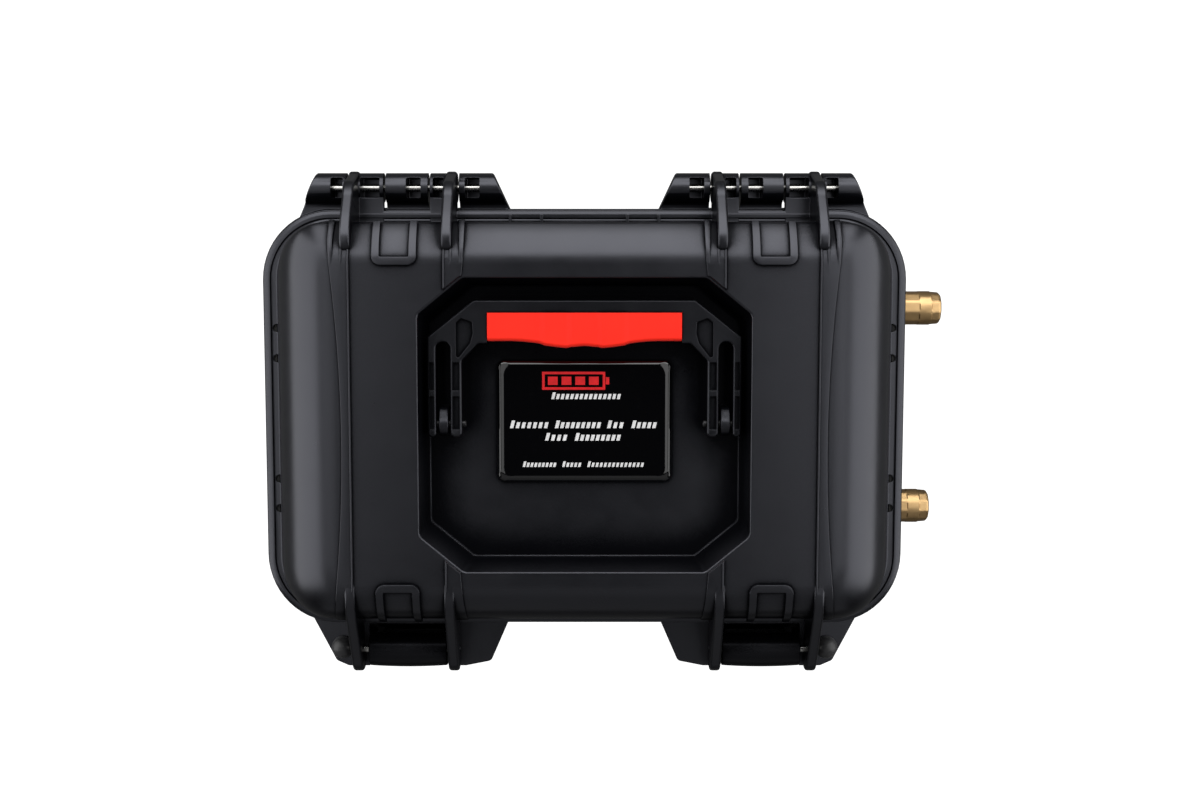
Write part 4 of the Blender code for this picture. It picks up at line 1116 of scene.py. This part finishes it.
def grip_section(x):
    """Cross-section of the grip at x: a rounded C, deeper at the two finger swells."""
    swell_reach, pad_x, pad_half = 42.0, 15.8, 7.6
    swell = 0.5 * (1 + math.cos(math.pi * min(abs(x) / swell_reach, 1.0)))
    near = 45.9 - 3.6 * swell + 0.9 * math.exp(-(x / 5.0) ** 2)
    pads = math.exp(-((abs(x) - pad_x) / pad_half) ** 16)
    near -= 0.7 * pads
    thick = 7.5 + 0.6 * pads
    top_y, corner, slot_y, slot_z = 61.4, 2.2, 48.25, 5.15
    points = [(top_y, thick)]
    points += arc((near + corner, thick - corner), corner, 90, 180, 5)
    points += arc((near + corner, -thick + corner), corner, 180, 270, 5)
    points += [(top_y, -thick), (top_y, -slot_z), (slot_y, -slot_z), (slot_y, slot_z), (top_y, slot_z)]
    return [(x, y, PIVOT.z + z) for y, z in points]


def build_grip():
    count, reach = 72, 53.0
    rings = [grip_section(-reach + 2 * reach * i / count) for i in range(count + 1)]
    grip = loft("grip_sleeve", rings)
    return finish_piece(grip, "grip", "handle", ["handle_grip"], 28.0)


# ---------------------------------------------------------------- label

def build_label():
    """A slab with rounded upper edges. Returns its centre and the height of its top."""
    low, high, centre = node_box("label_plate")
    half_x, half_y = (high.x - low.x) / 2, (high.y - low.y) / 2
    rings = []
    rim, dome = 0.8, 4.2
    rise = high.z - low.z - rim
    steps = [(0.3, low.z), (0.0, low.z + 0.3), (0.0, low.z + rim)]
    for i in range(1, 11):
        angle = math.radians(9 * i)
        steps.append((dome * (1 - math.cos(angle)), low.z + rim + rise * math.sin(angle)))
    for step, z in steps:
        spread = 3.6 + 3.0 * step / dome
        corners = [(centre.x + a * (half_x - step), centre.y + b * (half_y - step))
                   for a, b in ((1, 1), (-1, 1), (-1, -1), (1, -1))]
        rings.append([(x, y, z) for x, y in rounded_polygon(corners, spread, 6)])
    plate = loft("label_slab", rings)
    finish_piece(plate, "label", "lid", ["label_plate"], 20.0)
    return centre, high.z


def ink(name, outlines, z, look):
    """Thin raised print made of closed outlines."""
    bm = bmesh.new()
    thick = 0.09
    for outline in outlines:
        add_loft(bm, [[(x, y, level) for x, y in outline] for level in (z, z + thick)])
    finish_piece(new_object(name, bm), look, "lid", (), 20.0, False)


def bar(left, right, low, high, lean=0.0):
    """One bar of print, which may lean."""
    rise = (high - low) * lean
    return [(left, low), (right, low), (right + rise, high), (left + rise, high)]


def battery_sign(x, y):
    """Outline of a battery with its end cap and four charge blocks."""
    left, right, high, line = x - 19.0, x + 16.0, 5.0, 1.4
    inner = high - line
    sign = [
        bar(left, right, y + inner, y + high),
        bar(left, right, y - high, y - inner),
        bar(left, left + line, y - inner, y + inner),
        bar(right - line, right, y - inner, y + inner),
        bar(right + 0.3, right + 2.2, y - 2.0, y + 2.0),
    ]
    for i in range(4):
        start = left + 3.2 + i * 7.6
        sign.append(bar(start, start + 5.4, y - 2.3, y + 2.3))
    return sign


# Rows of print: level above the plate's middle, height, and the span of each group of bars
PRINT_ROWS = (
    (13.8, 2.9, ((-18.5, 20.5), )),
    (-2.2, 3.3, ((-41.5, -19.5), (-16.5, 9.5), (12.5, 22.5), (26.0, 40.5))),
    (-9.2, 3.3, ((-22.0, -9.0), (-5.5, 20.5))),
    (-24.4, 2.4, ((-34.5, -15.5), (-12.5, -1.5), (1.5, 33.5))),
)


def print_label(centre, z):
    """Leaning bars in rows, and a battery sign above them."""
    ink("label_emblem", battery_sign(centre.x - 4.5, centre.y + 22.6), z, "red_ink")
    spacing, stroke, first_tall, lean = 0.92, 0.62, 1.3, 0.25
    bars = []
    for level, height, spans in PRINT_ROWS:
        pitch = height * spacing
        low = centre.y + level - height / 2
        for left, right in spans:
            count = max(round((right - left) / pitch), 2)
            for i in range(count):
                start = centre.x + left + (right - left) * i / count
                tall = height * (first_tall if i == 0 else 1.0)
                bars.append(bar(start, start + pitch * stroke, low, low + tall, lean))
    ink("label_lines", bars, z, "pale_ink")


# ---------------------------------------------------------------- terminal posts

def flat_sided(angle, radius, flats):
    """Distance to the outline of a polygon with blunt corners at the given angle."""
    half = math.pi / flats
    turn = (angle + math.radians(6.0)) % (2 * half) - half
    return min(radius * math.cos(half) * 1.012 / math.cos(turn), radius)


def build_post(name):
    """A turned brass post: ten flats by its collar and at its tip, round in between."""
    low, high, centre = node_box(name)
    tip, seat, radius, sides = high.x, 178.4, 10.2, 80
    profile = [(7.2, low.x, 0), (8.0, low.x + 0.8, 0), (8.0, seat, 0), (13.0, seat, 0)]
    profile += [(13.4, seat + 0.5, 0), (13.4, seat + 4.0, 0), (12.9, seat + 4.5, 0)]
    profile += [(radius - 0.1, seat + 4.8, 1), (radius - 0.1, tip - 13.6, 1), (radius, tip - 13.1, 0)]
    profile += [(radius, tip - 6.4, 0), (radius - 0.3, tip - 5.7, 1), (radius - 0.6, tip - 2.2, 1)]
    profile += [(radius - 2.6 + x, tip - 2.0 + z, 1) for x, z in arc((0, 0), 2.0, 12, 84, 6)]
    rings = []
    for reach, along, flat in profile:
        ring = []
        for i in range(sides):
            angle = 2 * math.pi * i / sides
            out = flat_sided(angle, reach, 10) if flat else reach
            ring.append((along, centre.y + out * math.cos(angle), centre.z + out * math.sin(angle)))
        rings.append(ring)
    obj = loft(name + "_turned", rings)
    return finish_piece(obj, "brass", "case", [name], 25.0)


# ---------------------------------------------------------------- carried-over CAD nodes

KEPT = {
    "lid_gasket": "seal", "lid_foam": "foam", "foam_cradle": "foam",
    "battery_monitor": "alloy", "fuse_holder": "fuse", "sense_harness": "sleeve",
    "cable_cell_to_fuse": "red_cable", "cable_fuse_to_post": "red_cable",
    "cable_monitor_to_post": "black_cable", "cable_cell_to_monitor": "black_cable",
    "end_plate_left": "resin", "end_plate_right": "resin",
}
for pole in ("positive", "negative"):
    KEPT[f"post_collar_{pole}"] = "case"
    KEPT[f"post_seal_{pole}"] = "seal"
    KEPT[f"post_nut_{pole}"] = "nut"
for index in range(1, 5):
    KEPT[f"cell_{index}"] = "film"
    KEPT[f"terminal_screw_{index}_front"] = "screw"
    KEPT[f"terminal_screw_{index}_rear"] = "screw"
for index in range(1, 4):
    KEPT[f"busbar_{index}"] = "copper"


def dress_kept_nodes():
    for name, look in KEPT.items():
        obj = frame["nodes"][name]
        obj.data.materials.clear()
        obj.data.materials.append(LOOKS[look])


# ---------------------------------------------------------------- stage

# Strength of the pale surroundings as the camera sees them, and as surfaces do
SEEN_WHITE, FLOOR_BOUNCE, SKY_BOUNCE = 1.15, 0.02, 0.01
# Name, place, target, size and power in watts
LIGHTS = []
for tag, side, power in (("left", -1, 1.6), ("right", 1, 2.15)):
    LIGHTS += [
        (tag + "_softbox", (side * 0.62, 0.08, 0.36), (side * 0.10, 0.08, 0.16), (0.9, 0.6), 3.3),
        (tag + "_overhead", (side * 0.53, 0.12, 1.30), (side * 0.15, 0.08, 0.17), (1.0, 0.56), power),
    ]
LIGHTS += [
    ("hinge_panel", (0.0, 0.62, 0.57), (0.0, 0.0, 0.16), (1.1, 0.75), 7.4),
    ("front_panel", (0.0, -0.80, 0.50), (0.0, 0.0, 0.16), (1.4, 0.8), 0.7),
    ("front_overhead", (0.0, -0.52, 1.00), (0.0, 0.0, 0.17), (1.2, 0.36), 0.36),
]


def put(name, data, place, turn):
    """Places a light or a camera."""
    obj = bpy.data.objects.new(name, data)
    obj.location = place
    obj.rotation_euler = turn
    bpy.context.scene.collection.objects.link(obj)
    return obj


def area_light(name, place, target, size, power):
    data = bpy.data.lights.new(name, "AREA")
    data.shape = "RECTANGLE"
    data.size, data.size_y = size
    data.energy = power
    aim = Vector(target) - Vector(place)
    put(name, data, place, aim.to_track_quat("-Z", "Y").to_euler())


def glow(tree, bounce):
    """Bright where the camera sees it, and faint as a source of light."""
    seen = tree.nodes.new("ShaderNodeLightPath").outputs["Is Camera Ray"]
    return remap(tree, seen, 0.0, 1.0, bounce, SEEN_WHITE)


def pale_floor():
    """A pale sheet that shows white and throws only a little light back up."""
    bm = bmesh.new()
    half, level = 3000.0, -0.2
    corners = [(-half, -half, level), (half, -half, level), (half, half, level), (-half, half, level)]
    bm.faces.new([bm.verts.new(corner) for corner in corners])
    floor = new_object("floor", bm)
    made, tree, shader, _ = start_material("pale_floor", (0.05, 0.05, 0.05), 0.8)
    shader.inputs["Emission Color"].default_value = (1.0, 1.0, 1.0, 1.0)
    link(tree, glow(tree, FLOOR_BOUNCE), shader, "Emission Strength")
    floor.data.materials.append(made)


def studio():
    scene = bpy.context.scene
    scene.view_settings.view_transform = "Standard"
    world = bpy.data.worlds.new("studio")
    world.use_nodes = True
    sky = world.node_tree.nodes["Background"]
    sky.inputs["Color"].default_value = (0.96, 0.97, 1.0, 1.0)
    link(world.node_tree, glow(world.node_tree, SKY_BOUNCE), sky, "Strength")
    scene.world = world
    for values in LIGHTS:
        area_light(*values)
    pale_floor()


def camera():
    """Straight above the lid, leaning a little towards the hinges."""
    distance, lean = 0.900, math.radians(6.0)
    target = Vector((0.0, 0.0, LID_TOP_Z * MM))
    data = bpy.data.cameras.new("camera")
    data.lens, data.sensor_width = 49.7, 36.0
    data.shift_x, data.shift_y = 0.012917, 0.022
    data.clip_start = 0.01
    place = target + Vector((0.0, math.sin(lean), math.cos(lean))) * distance
    bpy.context.scene.camera = put("camera", data, place, (-lean, 0.0, 0.0))


# ---------------------------------------------------------------- the whole thing

make_looks()
build_lid()
build_base()
for kind, body in (("hinge", "case"), ("latch", "lid"), ("handle", "handle")):
    for side in ("left", "right"):
        steel_pin(f"{kind}_pin_{side}", body)
for side in ("left", "right"):
    lock_plug(f"lock_plug_{side}")
pressure_valve()
latch_lever("latch_left", -1)
latch_lever("latch_right", 1)
build_handle()
build_grip()
print_label(*build_label())
build_post("post_positive")
build_post("post_negative")
dress_kept_nodes()
studio()
camera()
